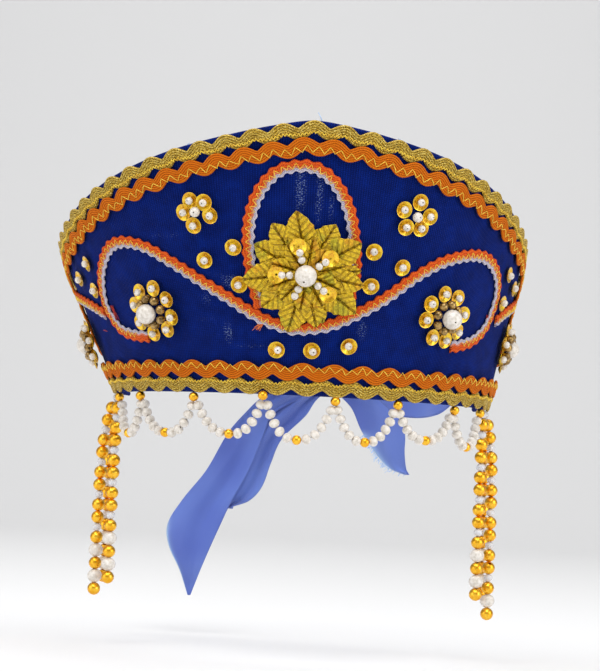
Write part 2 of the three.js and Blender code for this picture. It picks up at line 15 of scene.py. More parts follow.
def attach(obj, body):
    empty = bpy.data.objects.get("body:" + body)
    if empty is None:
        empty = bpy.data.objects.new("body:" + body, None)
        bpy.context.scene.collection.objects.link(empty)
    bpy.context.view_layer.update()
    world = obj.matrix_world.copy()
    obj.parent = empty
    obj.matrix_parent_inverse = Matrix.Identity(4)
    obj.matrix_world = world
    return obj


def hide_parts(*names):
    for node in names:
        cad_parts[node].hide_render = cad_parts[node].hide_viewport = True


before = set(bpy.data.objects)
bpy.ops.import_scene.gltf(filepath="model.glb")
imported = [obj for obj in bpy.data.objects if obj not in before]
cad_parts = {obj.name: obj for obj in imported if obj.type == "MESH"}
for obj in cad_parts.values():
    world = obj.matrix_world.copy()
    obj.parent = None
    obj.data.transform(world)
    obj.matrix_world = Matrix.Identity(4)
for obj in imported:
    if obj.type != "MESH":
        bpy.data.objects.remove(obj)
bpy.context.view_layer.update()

# The view. The camera stands a metre in front and a little under the rim. It is tilted up and rolled as the
# photo is, and its lens gives 2220 pixels for each unit of slope in a picture 600 pixels wide.
CAMERA_PLACE = (0.0, -1.0, -0.0335)
CAMERA_YAW, CAMERA_PITCH, CAMERA_ROLL = 0.113, 3.64, 2.7
LENS_PIXELS, PICTURE_WIDTH, SENSOR_WIDTH = 2220, 600, 36

lens = bpy.data.cameras.new("camera")
lens.sensor_fit, lens.sensor_width = "HORIZONTAL", SENSOR_WIDTH
lens.lens = SENSOR_WIDTH * LENS_PIXELS / PICTURE_WIDTH
camera = bpy.data.objects.new("camera", lens)
bpy.context.scene.collection.objects.link(camera)
camera.matrix_world = (
    Matrix.Translation(CAMERA_PLACE)
    @ Matrix.Rotation(math.radians(CAMERA_YAW), 4, "Z")
    @ Matrix.Rotation(math.radians(90 + CAMERA_PITCH), 4, "X")
    @ Matrix.Rotation(math.radians(CAMERA_ROLL), 4, "Z")
)
bpy.context.scene.camera = camera
bpy.context.scene.view_settings.view_transform = "Standard"

# The light is a white tent: one wide soft light over the front, one at each side and one on the backdrop.
# The room past them is darker, so that beads and pearls have something to reflect.
SOFT_LIGHTS = (
    {"name": "top_light", "place": (-0.1, -0.55, 1.25), "aim": (0, 0, 0), "size": 1.3, "watts": 19},
    {"name": "left_light", "place": (-1.3, -0.7, 0.35), "aim": (0, 0, 0), "size": 1.0, "watts": 5},
    {"name": "right_light", "place": (1.3, -0.7, 0.35), "aim": (0, 0, 0), "size": 1.0, "watts": 8},
    {"name": "backdrop_light", "place": (0, 1.3, 2.2), "aim": (0, 2.6, -0.1), "size": 2.4, "watts": 26},
)
for row in SOFT_LIGHTS:
    softbox = bpy.data.lights.new(row["name"], "AREA")
    softbox.size, softbox.energy = row["size"], row["watts"]
    lamp = bpy.data.objects.new(row["name"], softbox)
    bpy.context.scene.collection.objects.link(lamp)
    away = np.array(row["place"]) - np.array(row["aim"])
    turned = math.atan2(away[0], -away[1])
    raised = math.atan2(math.hypot(away[0], away[1]), away[2])
    lamp.matrix_world = (
        Matrix.Translation(row["place"]) @ Matrix.Rotation(turned, 4, "Z") @ Matrix.Rotation(raised, 4, "X")
    )

ROOM_STRENGTH = 0.4
room = bpy.data.worlds.new("room")
room.use_nodes = True
room.node_tree.nodes["Background"].inputs["Color"].default_value = (1, 1, 1, 1)
room.node_tree.nodes["Background"].inputs["Strength"].default_value = ROOM_STRENGTH
bpy.context.scene.world = room


# A surface in arrays: its points, the corners of all its faces in one row, the size of each face, and the UV
# of each corner.
Shape = namedtuple("Shape", "points corners sizes uv")


def surface(points, uv=None, ring=True, ends="capped"):
    """Quads over rows of points. A ring joins each row's last point to its first.

    The ends are capped with a face each, looped into each other or left open. Closed shapes are turned out:
    the sum of the corner products of all quads about the middle has to be positive.
    """
    rows, columns = points.shape[:2]
    last = rows if ends == "looped" else rows - 1
    i, j = np.arange(last)[:, None], np.arange(columns if ring else columns - 1)[None, :]
    i2, j2 = (i + 1) % rows, (j + 1) % columns
    quads = np.stack([i * columns + j, i * columns + j2, i2 * columns + j2, i2 * columns + j], -1)
    quads = quads.reshape(-1, 4)
    if uv is None:
        uv = np.stack(np.meshgrid(np.arange(rows + 1.0), np.arange(columns + 1.0), indexing="ij"), -1)
    flat = np.stack([uv[i, j], uv[i, j + 1], uv[i + 1, j + 1], uv[i + 1, j]], -2).reshape(-1, 4, 2)
    places = points.reshape(-1, 3)
    if ring:
        middle = places - places.mean(0)
        a, b, c, d = (middle[quads[:, k]] for k in range(4))
        volume = np.einsum("ij,ij->", a, np.cross(b, c)) + np.einsum("ij,ij->", a, np.cross(c, d))
        if volume < 0:
            quads, flat = quads[:, ::-1], flat[:, ::-1]
    corners, sizes, flats = [quads.ravel()], [np.full(len(quads), 4)], [flat.reshape(-1, 2)]
    if ring and ends == "capped":
        turned = 1 if volume < 0 else -1
        for first, way in (((rows - 1) * columns, -turned), (0, turned)):
            corners.append(np.arange(first, first + columns)[::way])
            sizes.append([columns])
            flats.append(uv[first // columns, :columns][::way])
    return Shape(places, np.concatenate(corners), np.concatenate(sizes), np.concatenate(flats))


def piece(name, shape, material, stands_for=(), smooth=True):
    """A mesh object of a shape in millimetres. It rides on the headdress, in place of its CAD nodes."""
    mesh = bpy.data.meshes.new(name)
    mesh.vertices.add(len(shape.points))
    mesh.vertices.foreach_set("co", (shape.points * 0.001).astype(np.float32).ravel())
    mesh.loops.add(len(shape.corners))
    mesh.loops.foreach_set("vertex_index", shape.corners.astype(np.int32))
    mesh.polygons.add(len(shape.sizes))
    mesh.polygons.foreach_set("loop_start", (np.cumsum(shape.sizes) - shape.sizes).astype(np.int32))
    mesh.uv_layers.new(name="weave").data.foreach_set("uv", shape.uv.astype(np.float32).ravel())
    mesh.update(calc_edges=True)
    mesh.polygons.foreach_set("use_smooth", np.full(len(shape.sizes), smooth))
    if smooth:
        mesh.set_sharp_from_angle(angle=math.radians(50))
    mesh.materials.append(material)
    made = bpy.data.objects.new(name, mesh)
    bpy.context.scene.collection.objects.link(made)
    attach(made, "root")
    if stands_for:
        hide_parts(*stands_for)
    return made


class Shade:
    """An output of a material's nodes. Sums on it add Math nodes, and node() adds any other kind."""

    def __init__(self, tree, socket=None):
        self.tree, self.socket = tree, socket

    def node(self, kind, settings=None, sockets=None, output=0):
        """Adds a node: its settings first, then the values or links of its sockets."""
        made = self.tree.nodes.new(kind)
        for name, value in (settings or {}).items():
            setattr(made, name, value)
        for name, value in (sockets or {}).items():
            if isinstance(value, Shade):
                self.tree.links.new(value.socket, made.inputs[name])
            else:
                made.inputs[name].default_value = value
        return Shade(self.tree, made.outputs[output])

    def space(self):
        """Object coordinates, in metres."""
        return self.node("ShaderNodeTexCoord", None, None, "Object")

    def weave(self):
        """The piece's own UV map, in millimetres along and across."""
        return self.node("ShaderNodeUVMap", {"uv_map": "weave"})

    def painted(self, name):
        """A value painted on the piece's points."""
        return self.node("ShaderNodeAttribute", {"attribute_name": name}, None, "Fac")

    def sum_of(self, operation, *values):
        """A Math node over these values."""
        return self.node("ShaderNodeMath", {"operation": operation}, dict(enumerate(values)))

    def __add__(self, other):
        return self.sum_of("ADD", self, other)

    def __sub__(self, other):
        return self.sum_of("SUBTRACT", self, other)

    def __rsub__(self, other):
        return self.sum_of("SUBTRACT", other, self)

    def __mul__(self, other):
        return self.sum_of("MULTIPLY", self, other)

    __radd__, __rmul__ = __add__, __mul__

    def wave(self):
        """Sine."""
        return self.sum_of("SINE", self)

    def size(self):
        """Absolute value."""
        return self.sum_of("ABSOLUTE", self)

    def rise(self, low, high):
        """Smooth step from 0 at low to 1 at high."""
        settings = {"interpolation_type": "SMOOTHSTEP"}
        return self.node("ShaderNodeMapRange", settings, {"Value": self, "From Min": low, "From Max": high})

    def mix(self, first, second):
        """Colour from first to second, by this value."""
        return self.node("ShaderNodeMix", {"data_type": "RGBA"}, {0: self, 6: first, 7: second}, 2)

    def part(self, axis):
        """One coordinate of a vector."""
        return self.node("ShaderNodeSeparateXYZ", None, {0: self}, axis)

    def noise(self, scale, detail=2.0):
        """Soft noise over this vector."""
        return self.node("ShaderNodeTexNoise", None, {"Vector": self, "Scale": scale, "Detail": detail})

    def bump(self, height, depth):
        """Normals of a relief of this depth in metres."""
        return self.node("ShaderNodeBump", None, {"Height": height, "Distance": depth})

    def feed(self, sockets):
        """Links values to the material's own shader."""
        for name, value in sockets.items():
            self.tree.links.new(value.socket, self.tree.nodes["Principled BSDF"].inputs[name])


def finish(name, fixed):
    """A material whose shader has these sockets fixed, and a start for its nodes."""
    made = bpy.data.materials.new(name)
    made.use_nodes = True
    shader = made.node_tree.nodes["Principled BSDF"]
    for socket, value in fixed.items():
        shader.inputs[socket].default_value = value
    return made, Shade(made.node_tree)


def colour(red, green, blue):
    """Linear colour from the 0 to 255 values of a screen."""
    share = np.array([red, green, blue]) / 255
    linear = np.where(share > 0.04045, ((share + 0.055) / 1.055) ** 2.4, share / 12.92)
    return (*linear.tolist(), 1.0)


# The floor is a plain pale sweep of paper: flat under the headdress and curved up far behind it.
FLOOR_HEIGHT, FLOOR_HALF_WIDTH = -112, 4000
bend = np.radians(np.linspace(0, 90, 24))
sweep_y = np.concatenate([[-2600, 1800], 1800 + 1200 * np.sin(bend), [3000]])
sweep_z = np.concatenate([[0, 0], 1200 * (1 - np.cos(bend)), [3200]]) + FLOOR_HEIGHT
sweep = np.stack([np.stack([np.full(len(sweep_y), x), sweep_y, sweep_z], -1)
                  for x in (-FLOOR_HALF_WIDTH, FLOOR_HALF_WIDTH)])
paper, _ = finish("backdrop_paper", {"Base Color": (0.78, 0.78, 0.785, 1), "Roughness": 0.85})
floor = piece("backdrop", surface(sweep, ring=False, ends="open"), paper)


# The band is one wall of stiffened cloth, 3 mm thick, covered in blue ribbed jersey that is rolled over its
# top edge. It flares upwards, rises to a point over the front and rounds down at both rear corners.
RIM_RADIUS, WALL, FLARE, FLARE_LEAN, CREST_LEAN = 83.2, 3, 0.32, 0.12, 4.1
BAND_END, CORNER_START, CORNER_POWER, CORNER_CUT = 104, 82, 2.6, 75
CREST_TURN = np.array([-104, -82, -69, -57, -42, -29, -16, -6, 0, 6, 16, 29, 42, 57, 69, 82, 104.0])
CREST_HEIGHT = np.array([59, 68.4, 74.7, 82.4, 91.8, 98.7, 104.2, 107.9, 109.3,
                         107.9, 104.2, 98.7, 91.8, 82.4, 74.7, 68.4, 59])
MIDDLE_RADIUS = RIM_RADIUS + 50 * FLARE
WRINKLE, OUTSIDE_ROWS, INSIDE_ROWS = 0.35, 52, 20
# DEEP_BLUE is the darker blue of the mottle and also the painted shade in the knit's hollows.
BLUE, DEEP_BLUE, THREADBARE = colour(2, 35, 124), colour(1, 20, 84), colour(112, 130, 172)


def flare_at(turn):
    """Outward lean of the wall for each millimetre up."""
    return FLARE - FLARE_LEAN * np.sin(np.radians(turn))


def radius_at(turn, height):
    """Radius of the wall's outer face, which grows evenly with height."""
    return RIM_RADIUS + height * flare_at(turn)


def at_turn(reach, turn, height):
    """Points at a reach from the upright axis: (reach sin turn, -reach cos turn, height)."""
    angle = np.radians(turn)
    return np.stack(np.broadcast_arrays(reach * np.sin(angle), -reach * np.cos(angle), height), -1)


def on_band(turn, height, proud=0.0):
    """Points of the band's outer face, standing proud of it: a circle whose radius grows with height."""
    return at_turn(radius_at(turn, height) + proud, turn, height)


def smooth_table(places, values, at):
    """A smooth curve through a table: cubics whose slopes run from the row before to the row after."""
    wide, tall = np.pad(places, 1, "edge"), np.pad(values, 1, "edge")
    slope = (tall[2:] - tall[:-2]) / (wide[2:] - wide[:-2])
    i = np.clip(np.searchsorted(places, at) - 1, 0, len(places) - 2)
    span = places[i + 1] - places[i]
    t = (at - places[i]) / span
    bends = t * (1 - t) ** 2 * slope[i] * span + t * t * (t - 1) * slope[i + 1] * span
    return values[i] + (values[i + 1] - values[i]) * (3 * t**2 - 2 * t**3) + bends


def crest_at(turn):
    """Height of the top edge, which leans to one side by the sine of the turn."""
    return smooth_table(CREST_TURN, CREST_HEIGHT, turn) + CREST_LEAN * np.sin(np.radians(turn))


def band_edge(corner_steps, crest_steps):
    """Turn and height along the band's edge: over the crest, and down superellipses at the rear corners."""
    a = np.radians(np.linspace(CORNER_CUT, 0, corner_steps + 1))
    corner = CORNER_START + (BAND_END - CORNER_START) * np.sin(a) ** (2 / CORNER_POWER)
    drop = np.cos(a) ** (2 / CORNER_POWER)
    top = np.linspace(-CORNER_START, CORNER_START, crest_steps + 1)[1:-1]
    turn = np.concatenate([-corner, top, corner[::-1]])
    height = np.concatenate([crest_at(-corner) * drop, crest_at(top), (crest_at(corner) * drop)[::-1]])
    return turn, height


def wrinkles(turn, height):
    """Slow hollows of the stretched cloth: crossed sine waves, never above the plain wall."""
    u, v = np.radians(turn) * RIM_RADIUS, height
    folds = np.sin(u / 9 + 1.7 * np.sin(v / 23)) * np.sin(v / 13 + 1.1 * np.sin(u / 31))
    return WRINKLE * (folds + 0.5 * np.sin(u / 4.3 + v / 11) - 1.2) / 2


def crown_wall():
    """The wall's section, a long loop with round hem and top, carried along the band's edge.

    Past both ends the section narrows as a half circle, so that the ends are round too.
    """
    turn, height = band_edge(40, 420)
    half = WALL / 2
    b = np.radians(np.linspace(85, 15, 6))
    past = np.degrees(half * np.sin(b) / RIM_RADIUS)
    turn = np.concatenate([turn[0] - past, turn, turn[-1] + past[::-1]])
    height = np.pad(height, len(b), "edge")
    thick = half * np.concatenate([np.cos(b), np.ones(len(turn) - 2 * len(b)), np.cos(b)[::-1]])
    arc = np.radians(np.linspace(0, 180, 9))
    rise, fall = np.linspace(0, 1, OUTSIDE_ROWS), np.linspace(1, 0, INSIDE_ROWS)
    out, inner = np.ones(OUTSIDE_ROWS), np.ones(INSIDE_ROWS)
    depth = np.concatenate([out, np.cos(arc)[1:-1], -inner, -np.cos(arc)[1:-1]])
    level = np.concatenate([rise, np.ones(7), fall, np.zeros(7)])
    over = np.concatenate([0 * out, np.sin(arc)[1:-1], 0 * inner, -np.sin(arc)[1:-1]])
    z = half + level * (height[:, None] - WALL) + over * half
    outside = np.concatenate([out, np.zeros(len(level) - OUTSIDE_ROWS)])
    outside = outside * np.sin(np.pi * np.clip(level, 0, 1)) ** 0.3
    proud = -half + depth * thick[:, None] + outside * wrinkles(turn[:, None], z)
    points = on_band(turn[:, None], z, proud)
    run = np.radians(turn)[:, None] * MIDDLE_RADIUS + 0 * z
    around = np.cumsum(np.pad(np.hypot(np.diff(z[len(z) // 2]), np.diff(depth) * half), (1, 0)))
    uv = np.stack([run, np.broadcast_to(around, z.shape)], -1)
    return surface(points, np.concatenate([uv, uv[:, :1] + [0, around[-1] + 1]], 1)), z.shape


def paint(made, name, values):
    """Values on a piece's points, which its material reads."""
    painted = made.data.attributes.new(name, "FLOAT", "POINT")
    painted.data.foreach_set("value", values.astype(np.float32).ravel())


# Thin places, where the jersey's threads have opened and its pale backing shows: the turn and height of the
# middle, how wide and high the place is, and how worn.
Thin = namedtuple("Thin", "turn height wide high worn")
THIN_PLACES = (
    Thin(-2.2, 82, 2.2, 10, 1.0), Thin(1.8, 80, 1.6, 12, 0.9), Thin(4.6, 76, 1.2, 8, 0.7),
    Thin(-18.5, 45, 4.5, 3, 0.9), Thin(-25, 38, 3, 3, 0.6), Thin(-20, 24.5, 2.5, 4.5, 0.9),
    Thin(-33, 63, 15, 1.2, 0.45), Thin(-23, 48, 9, 1.2, 0.5), Thin(-27, 30, 11, 1.2, 0.45),
    Thin(-13, 19, 12, 1.2, 0.5), Thin(15, 28, 3, 5, 0.7), Thin(9, 23, 12, 1.2, 0.4),
)
jersey, shade = finish("blue_jersey", {"Roughness": 0.9, "Specular IOR Level": 0.08, "Sheen Weight": 0.02})
weave = shade.weave()
space = shade.space()
wale, course = weave.part("X"), weave.part("Y")
ribs = (wale * (2 * math.pi / 0.95)).wave() * 0.5 + 0.5
loops = (course * (2 * math.pi / 0.8) + ribs * 2).wave() * 0.5 + 0.5
mottle = space.noise(160.0, 3.0)
worn = shade.painted("worn")
stretch = shade.node("ShaderNodeMapping", {"vector_type": "TEXTURE"},
                     {"Vector": weave, "Scale": (0.75, 0.42, 1)})
opened = (stretch.noise(1.0, 1.0) + worn * 0.12).rise(0.62, 0.74) * worn.rise(0.15, 0.7) * 0.75
# Painted shade: besides the mottle's random drift, the blue is darker between the knit's ribs and loops and
# lighter on their tops.
blue = (mottle * 0.7 + ribs * loops * 0.45).rise(0.25, 0.8).mix(DEEP_BLUE, BLUE)
shade.feed({
    "Base Color": opened.mix(blue, THREADBARE),
    "Normal": shade.bump(ribs * 0.8 + loops * 0.4 + mottle, 0.00022),
})
wall_shape, wall_grid = crown_wall()
band = piece("blue_crown", wall_shape, jersey, ["crown_band"])
wall_turn = np.degrees(np.arctan2(wall_shape.points[:, 0], -wall_shape.points[:, 1]))
thinness = np.zeros(len(wall_shape.points))
for row in THIN_PLACES:
    away = np.radians(wall_turn - row.turn) * MIDDLE_RADIUS / row.wide
    above = (wall_shape.points[:, 2] - row.height) / row.high
    thinness = np.maximum(thinness, row.worn * np.exp(-(away**2) - above**2))
thinness[:math.prod(wall_grid)].reshape(wall_grid)[:, OUTSIDE_ROWS:] = 0
paint(band, "worn", thinness)


# The wavy tapes are woven of five or six corded ribs that follow the wave. A gold lurex one runs inside the
# edge all the way round, and an orange one laps over it. A yellow machine zigzag holds each of them: on the
# crest it lies nearer the middle of the band, and on the rim higher up.
GAP, TAPE_THICK, WAVE, SIDE_TRIM_FOOT = 0.35, 0.8, 11.9, 15.5
RIM_STEPS, RIM_TAPE_SHORT = 700, 3
TAPES = {
    "gold": {"width": 5.0, "swing": 1.35, "ribs": 5, "proud": GAP, "inset": 4.0, "low": 3.25, "seam": 1.5},
    "orange": {"width": 5.4, "swing": 1.3, "ribs": 6, "proud": GAP + TAPE_THICK, "inset": 10.9, "low": 9.45,
               "seam": 1.2},
}
# NOTCH is how far the width turns with the wave. BUMPS has the turn of one bump, and 1 where it points up.
NOTCH, WAVE_STEPS = 0.97, 24
BUMPS = {
    ("crest", "gold"): (0.1, 1), ("crest", "orange"): (1.2, -1),
    ("rim", "gold"): (1.3, -1), ("rim", "orange"): (0.05, 1),
}
STITCHES = {
    "gold": {"leg": 0.8, "reach": 0.55, "radius": 0.2, "seed": 7},
    "orange": {"leg": 2.3, "reach": 1.35, "radius": 0.16, "seed": 8},
}


def cloth_run(turn, height):
    """Unit direction of a line on the cloth at each point, along and up, from the steps beside it."""
    along = np.radians(np.gradient(turn)) * radius_at(turn, height)
    up = np.gradient(height) * np.hypot(1, flare_at(turn))
    step = np.hypot(along, up)
    return along / step, up / step, step


class Line:
    """A line on the cloth, known by the way along it. Its left side is to the left of its run."""

    def __init__(self, turn, height):
        self.turn, self.height = turn, height
        self.along, self.up, step = cloth_run(turn, height)
        self.way = np.concatenate([[0], np.cumsum((step[1:] + step[:-1]) / 2)])
        self.length = self.way[-1]

    def spot(self, way, left=0.0, forward=0.0):
        """Turn and height at a way along, moved left and forward on the cloth."""
        turn, height, along, up = (
            np.interp(way, self.way, row) for row in (self.turn, self.height, self.along, self.up)
        )
        turn = turn + np.degrees((along * forward - up * left) / radius_at(turn, height))
        return turn, height + (up * forward + along * left) / np.hypot(1, flare_at(turn))

    def at(self, way, left=0.0, proud=0.0, forward=0.0):
        """Points at a way along, moved left and forward on the cloth and standing proud of it."""
        return on_band(*self.spot(way, left, forward), proud)


def inside_edge(inset):
    """The line a distance inside the band's edge, from one rear foot over the crest to the other."""
    edge = Line(*band_edge(90, 900))
    turn, height = edge.spot(edge.way, -inset)
    kept = height > SIDE_TRIM_FOOT
    return Line(turn[kept], height[kept])


def unit(vectors):
    """Vectors of length one."""
    return vectors / np.linalg.norm(vectors, axis=-1, keepdims=True)


def circle(sides):
    """Even angles round a circle."""
    return np.linspace(0, 2 * np.pi, sides, endpoint=False)


def thread(points, radius, beside, sides=6):
    """A round thread: rings square to its run, turned by a vector beside it. Its radius may change."""
    run = unit(np.gradient(points, axis=0))
    first = unit(np.cross(run, beside))
    around = circle(sides)[None, :, None]
    ring = np.cos(around) * first[:, None] + np.sin(around) * np.cross(run, first)[:, None]
    return surface(points[:, None] + np.reshape(radius, (-1, 1, 1)) * ring)


def joined(shapes):
    """Several shapes as one."""
    firsts = np.cumsum([0] + [len(s.points) for s in shapes[:-1]])
    return Shape(
        np.concatenate([s.points for s in shapes]),
        np.concatenate([s.corners + first for s, first in zip(shapes, firsts)]),
        np.concatenate([s.sizes for s in shapes]),
        np.concatenate([s.uv for s in shapes]),
    )


def wave_angle(line, way, waves, start):
    """Phase of a tape's wave, a little uneven along the way as the tape was eased on by hand."""
    share = way / line.length
    return 2 * np.pi * waves * share + start + 0.3 * np.sin(17 * share) + 0.2 * np.sin(41 * share + 1)


def wavy_tape(line, waves, start, width, swing, ribs, proud):
    """A tape whose middle swings as a sine wave, with its width square to the wave, less NOTCH.

    Its top is a flat arch with a half sine for each corded rib. Its underside lies on what is below.
    """
    way = np.linspace(0, line.length, int(waves * WAVE_STEPS))[:, None]
    angle = wave_angle(line, way, waves, start)
    tilt = NOTCH * np.arctan(swing * 2 * np.pi * waves / line.length * np.cos(angle))
    top = np.linspace(-1, 1, 5 * ribs + 1)
    across = np.concatenate([top, [0.94, 0, -0.94]])
    arch = 0.35 + 0.65 * (1 - top**8) + 0.3 * np.abs(np.sin(np.pi * ribs * (top + 1) / 2))
    lift = np.concatenate([TAPE_THICK * arch, [0, 0, 0]])
    left = swing * np.sin(angle) + width / 2 * across * np.cos(tilt)
    points = line.at(way, left, proud + lift, -width / 2 * across * np.sin(tilt))
    uv = np.stack(np.broadcast_arrays(way, width / 2 * across), -1)
    return surface(points, np.concatenate([uv, uv[:, :1]], 1))


def zigzag(line, waves, start, swing, proud, leg, reach, radius, seed):
    """Machine stitches: one thread that crosses a tape from side to side, down at each needle hole."""
    draw = np.random.default_rng(seed)
    count = int(line.length / leg)
    holes = np.linspace(0.02, 0.98, count) * line.length + draw.normal(0, 0.12, count) * leg
    sides = np.where(np.arange(count) % 2, 1.0, -1.0) * reach + draw.normal(0, 0.12, count) * reach
    fine = np.linspace(0, count - 1, (count - 1) * 4 + 1)
    way = np.interp(fine, np.arange(count), holes)
    left = np.interp(fine, np.arange(count), sides) + swing * np.sin(wave_angle(line, way, waves, start))
    lift = proud + 0.35 * np.sin(np.pi * (fine % 1)) ** 0.5
    points = line.at(way, left, lift)
    return thread(points, radius, points * [1, 1, 0] / RIM_RADIUS + [0, 0, -0.3], 5)


def corded(name, tape, light, dark, depth, fixed):
    """Corded ribs of a tape, with painted shade between them as strong as depth, and a fine slanting twist
    in each.
    """
    made, shade = finish(name, fixed)
    width, ribs = tape["width"], tape["ribs"]
    weave = shade.weave()
    space = shade.space()
    cord = ((weave.part("Y") + width / 2) * (math.pi * ribs / width)).wave().size()
    twist = (weave.part("X") * 9 + weave.part("Y") * 7).wave() * 0.5 + 0.5
    # tone holds painted shade in the grooves between the ribs, the twist and a random drift; its low end
    # takes the dark colour.
    tone = cord.rise(0.0, 0.55) * depth + twist * 0.15 + space.noise(300.0) * 0.3
    return made, shade, space, tone, tone.rise(0.2, 0.25 + depth).mix(dark, light), cord + twist * 0.3


tape_finish = {}
# The darker colour of each tape is also the painted shade between its ribs.
made, shade, space, tone, base, relief = corded(
    "orange_tape", TAPES["orange"], colour(208, 108, 2), colour(148, 62, 1), 0.75,
    {"Roughness": 0.8, "Specular IOR Level": 0.2},
)
shade.feed({"Base Color": base, "Normal": shade.bump(relief, 0.0002)})
tape_finish["orange"] = made

made, shade, space, tone, base, relief = corded(
    "gold_lurex_tape", TAPES["gold"], colour(198, 160, 36), colour(120, 90, 14), 0.25, {"Metallic": 0.4}
)
# Painted glints: the fine speckle paints bright highlights and dark reflections into the lurex's colour, and
# also smooths the bright flecks.
glint = space.noise(2600.0, 1.0)
painted_glint, painted_dark_reflection = glint.rise(0.54, 0.64) * 0.9, glint.rise(0.46, 0.37) * 0.75
shade.feed({
    "Base Color": painted_glint.mix(painted_dark_reflection.mix(base, colour(88, 62, 14)), colour(246, 226, 132)),
    "Roughness": 0.62 - glint.rise(0.5, 0.65) * 0.35,
    "Normal": shade.bump(relief + glint * 1.5, 0.00025),
})
tape_finish["gold"] = made


def mottled(name, fixed, noise, dark, light, spread=(0.3, 0.7), rough=None, relief=None):
    """A material in two close colours that drift into each other, over a spread of a noise or all of it.

    The same noise may also set the roughness, as a base and a range, and a relief of a depth in metres.
    """
    made, shade = finish(name, fixed)
    drift = shade.space().noise(*noise)
    share = drift.rise(*spread) if spread else drift
    shade.feed({"Base Color": share.mix(colour(*dark), colour(*light))})
    if rough:
        shade.feed({"Roughness": rough[0] + drift * rough[1]})
    if relief:
        shade.feed({"Normal": shade.bump(drift, relief)})
    return made


yellow_thread = mottled("yellow_stitching", {"Roughness": 0.6, "Sheen Weight": 0.2}, [500.0],
                        (214, 168, 16), (246, 214, 66))

rim_turn = np.linspace(RIM_TAPE_SHORT - BAND_END, BAND_END - RIM_TAPE_SHORT, RIM_STEPS)
for kind, tape in TAPES.items():
    for place, line in (
        ("crest", inside_edge(tape["inset"])),
        ("rim", Line(rim_turn, np.full(RIM_STEPS, tape["low"]))),
    ):
        waves = line.length / WAVE
        turn, side = BUMPS[place, kind]
        start = side * math.pi / 2 - wave_angle(line, np.interp(turn, line.turn, line.way), waves, 0)
        shape = wavy_tape(line, waves, start, tape["width"], tape["swing"], tape["ribs"], tape["proud"])
        node = f"{place}_trim_{kind}"
        piece(f"{node}_woven", shape, tape_finish[kind], [node])
        aside = {"crest": -1, "rim": 1}[place] * tape["seam"]
        seam = Line(*line.spot(line.way, aside))
        lift = tape["proud"] + TAPE_THICK * 1.1
        stitches = zigzag(seam, waves, start, 0.3 * tape["swing"], lift, **STITCHES[kind])
        piece(f"{node}_stitches", stitches, yellow_thread)


# The narrow braid is two cords woven side by side, orange red outside and white inside, in a shallow wave.
# It is sewn down in a long scroll, a centre loop and two side branches, by a fine yellow zigzag on the join.
BRAID_WIDTH, BRAID_THICK, BRAID_WAVE, BRAID_SWING, BRAID_ASIDE = 5.0, 1.1, 4.5, 0.3, -0.4
BRAID_SEAM, BRAID_STITCHES = -0.35, {"leg": 1.5, "reach": 1.2, "radius": 0.15, "seed": 11}
BRAID_LINES = {
    "scroll_braid": (
        (-44.8, 22.1), (-50.6, 22.8), (-56.5, 26), (-60.1, 35.9), (-57.7, 48.2), (-51.8, 58.3),
        (-46.3, 61.3), (-39.7, 59.2), (-32.5, 52.6), (-25.9, 45.6), (-18.7, 38.4), (-11.8, 31.6),
        (-4.7, 27.6), (0, 27.4), (6.5, 29.5), (13.7, 35.2), (20.1, 41.9), (27.7, 51.8),
        (35.6, 59.2), (45, 63.2), (52.7, 61.9), (58.7, 55.5), (60.8, 46.5), (58.7, 34.8),
        (53.4, 27.8), (47.3, 24.7), (43.6, 23.8),
    ),
    "loop_braid": (
        (-11.3, 34.6), (-12, 38), (-13, 45.5), (-13.8, 57.7), (-13.2, 70), (-10.8, 81.3),
        (-7, 89), (-2.2, 91.6), (1.9, 90.2), (5.6, 84.6), (8.8, 75), (10.7, 62.7),
        (11.5, 52.5), (11.2, 43.5), (10.4, 37.1),
    ),
    "side_braid_left": (
        (-93.5, 44.4), (-79, 40.8), (-69.4, 37.2), (-61.8, 32.9),
    ),
    "side_braid_right": (
        (63.6, 37.8), (70, 42.2), (79, 45.9), (93.5, 49),
    ),
}


def smooth_line(rows):
    """A smooth line on the cloth through rows of turn and height."""
    rows = np.array(rows, float)
    place = np.arange(len(rows))
    fine = np.linspace(0, len(rows) - 1, 24 * len(rows))
    return Line(*(smooth_table(place.astype(float), rows[:, k], fine) for k in range(2)))


def narrow_braid(line):
    """Two round cords side by side on one wavy line: each a half sine across its share of the width.

    The white one, on the right of the line, is the narrower.
    """
    way = np.linspace(0, line.length, int(line.length / BRAID_WAVE * 14))[:, None]
    angle = 2 * np.pi * way / BRAID_WAVE
    top = np.linspace(-1, 1, 29)
    share = np.where(top < -0.4, (top + 1) / 0.6, (top + 0.4) / 1.4)
    cords = 0.3 + 0.7 * np.sin(np.pi * np.clip(share, 0, 1)) ** 0.55 + 0.1 * np.abs(np.sin(top * 9))
    across = np.concatenate([top, [0.9, 0, -0.9]])
    lift = np.concatenate([BRAID_THICK * cords, [0, 0, 0]])
    bulge = 1 + 0.05 * np.sin(angle + np.where(across > 0, 0, np.pi))
    left = BRAID_SWING * np.sin(angle) + BRAID_WIDTH / 2 * across * bulge
    uv = np.stack(np.broadcast_arrays(way, BRAID_WIDTH / 2 * across), -1)
    return surface(line.at(way, left, GAP + lift), np.concatenate([uv, uv[:, :1]], 1))


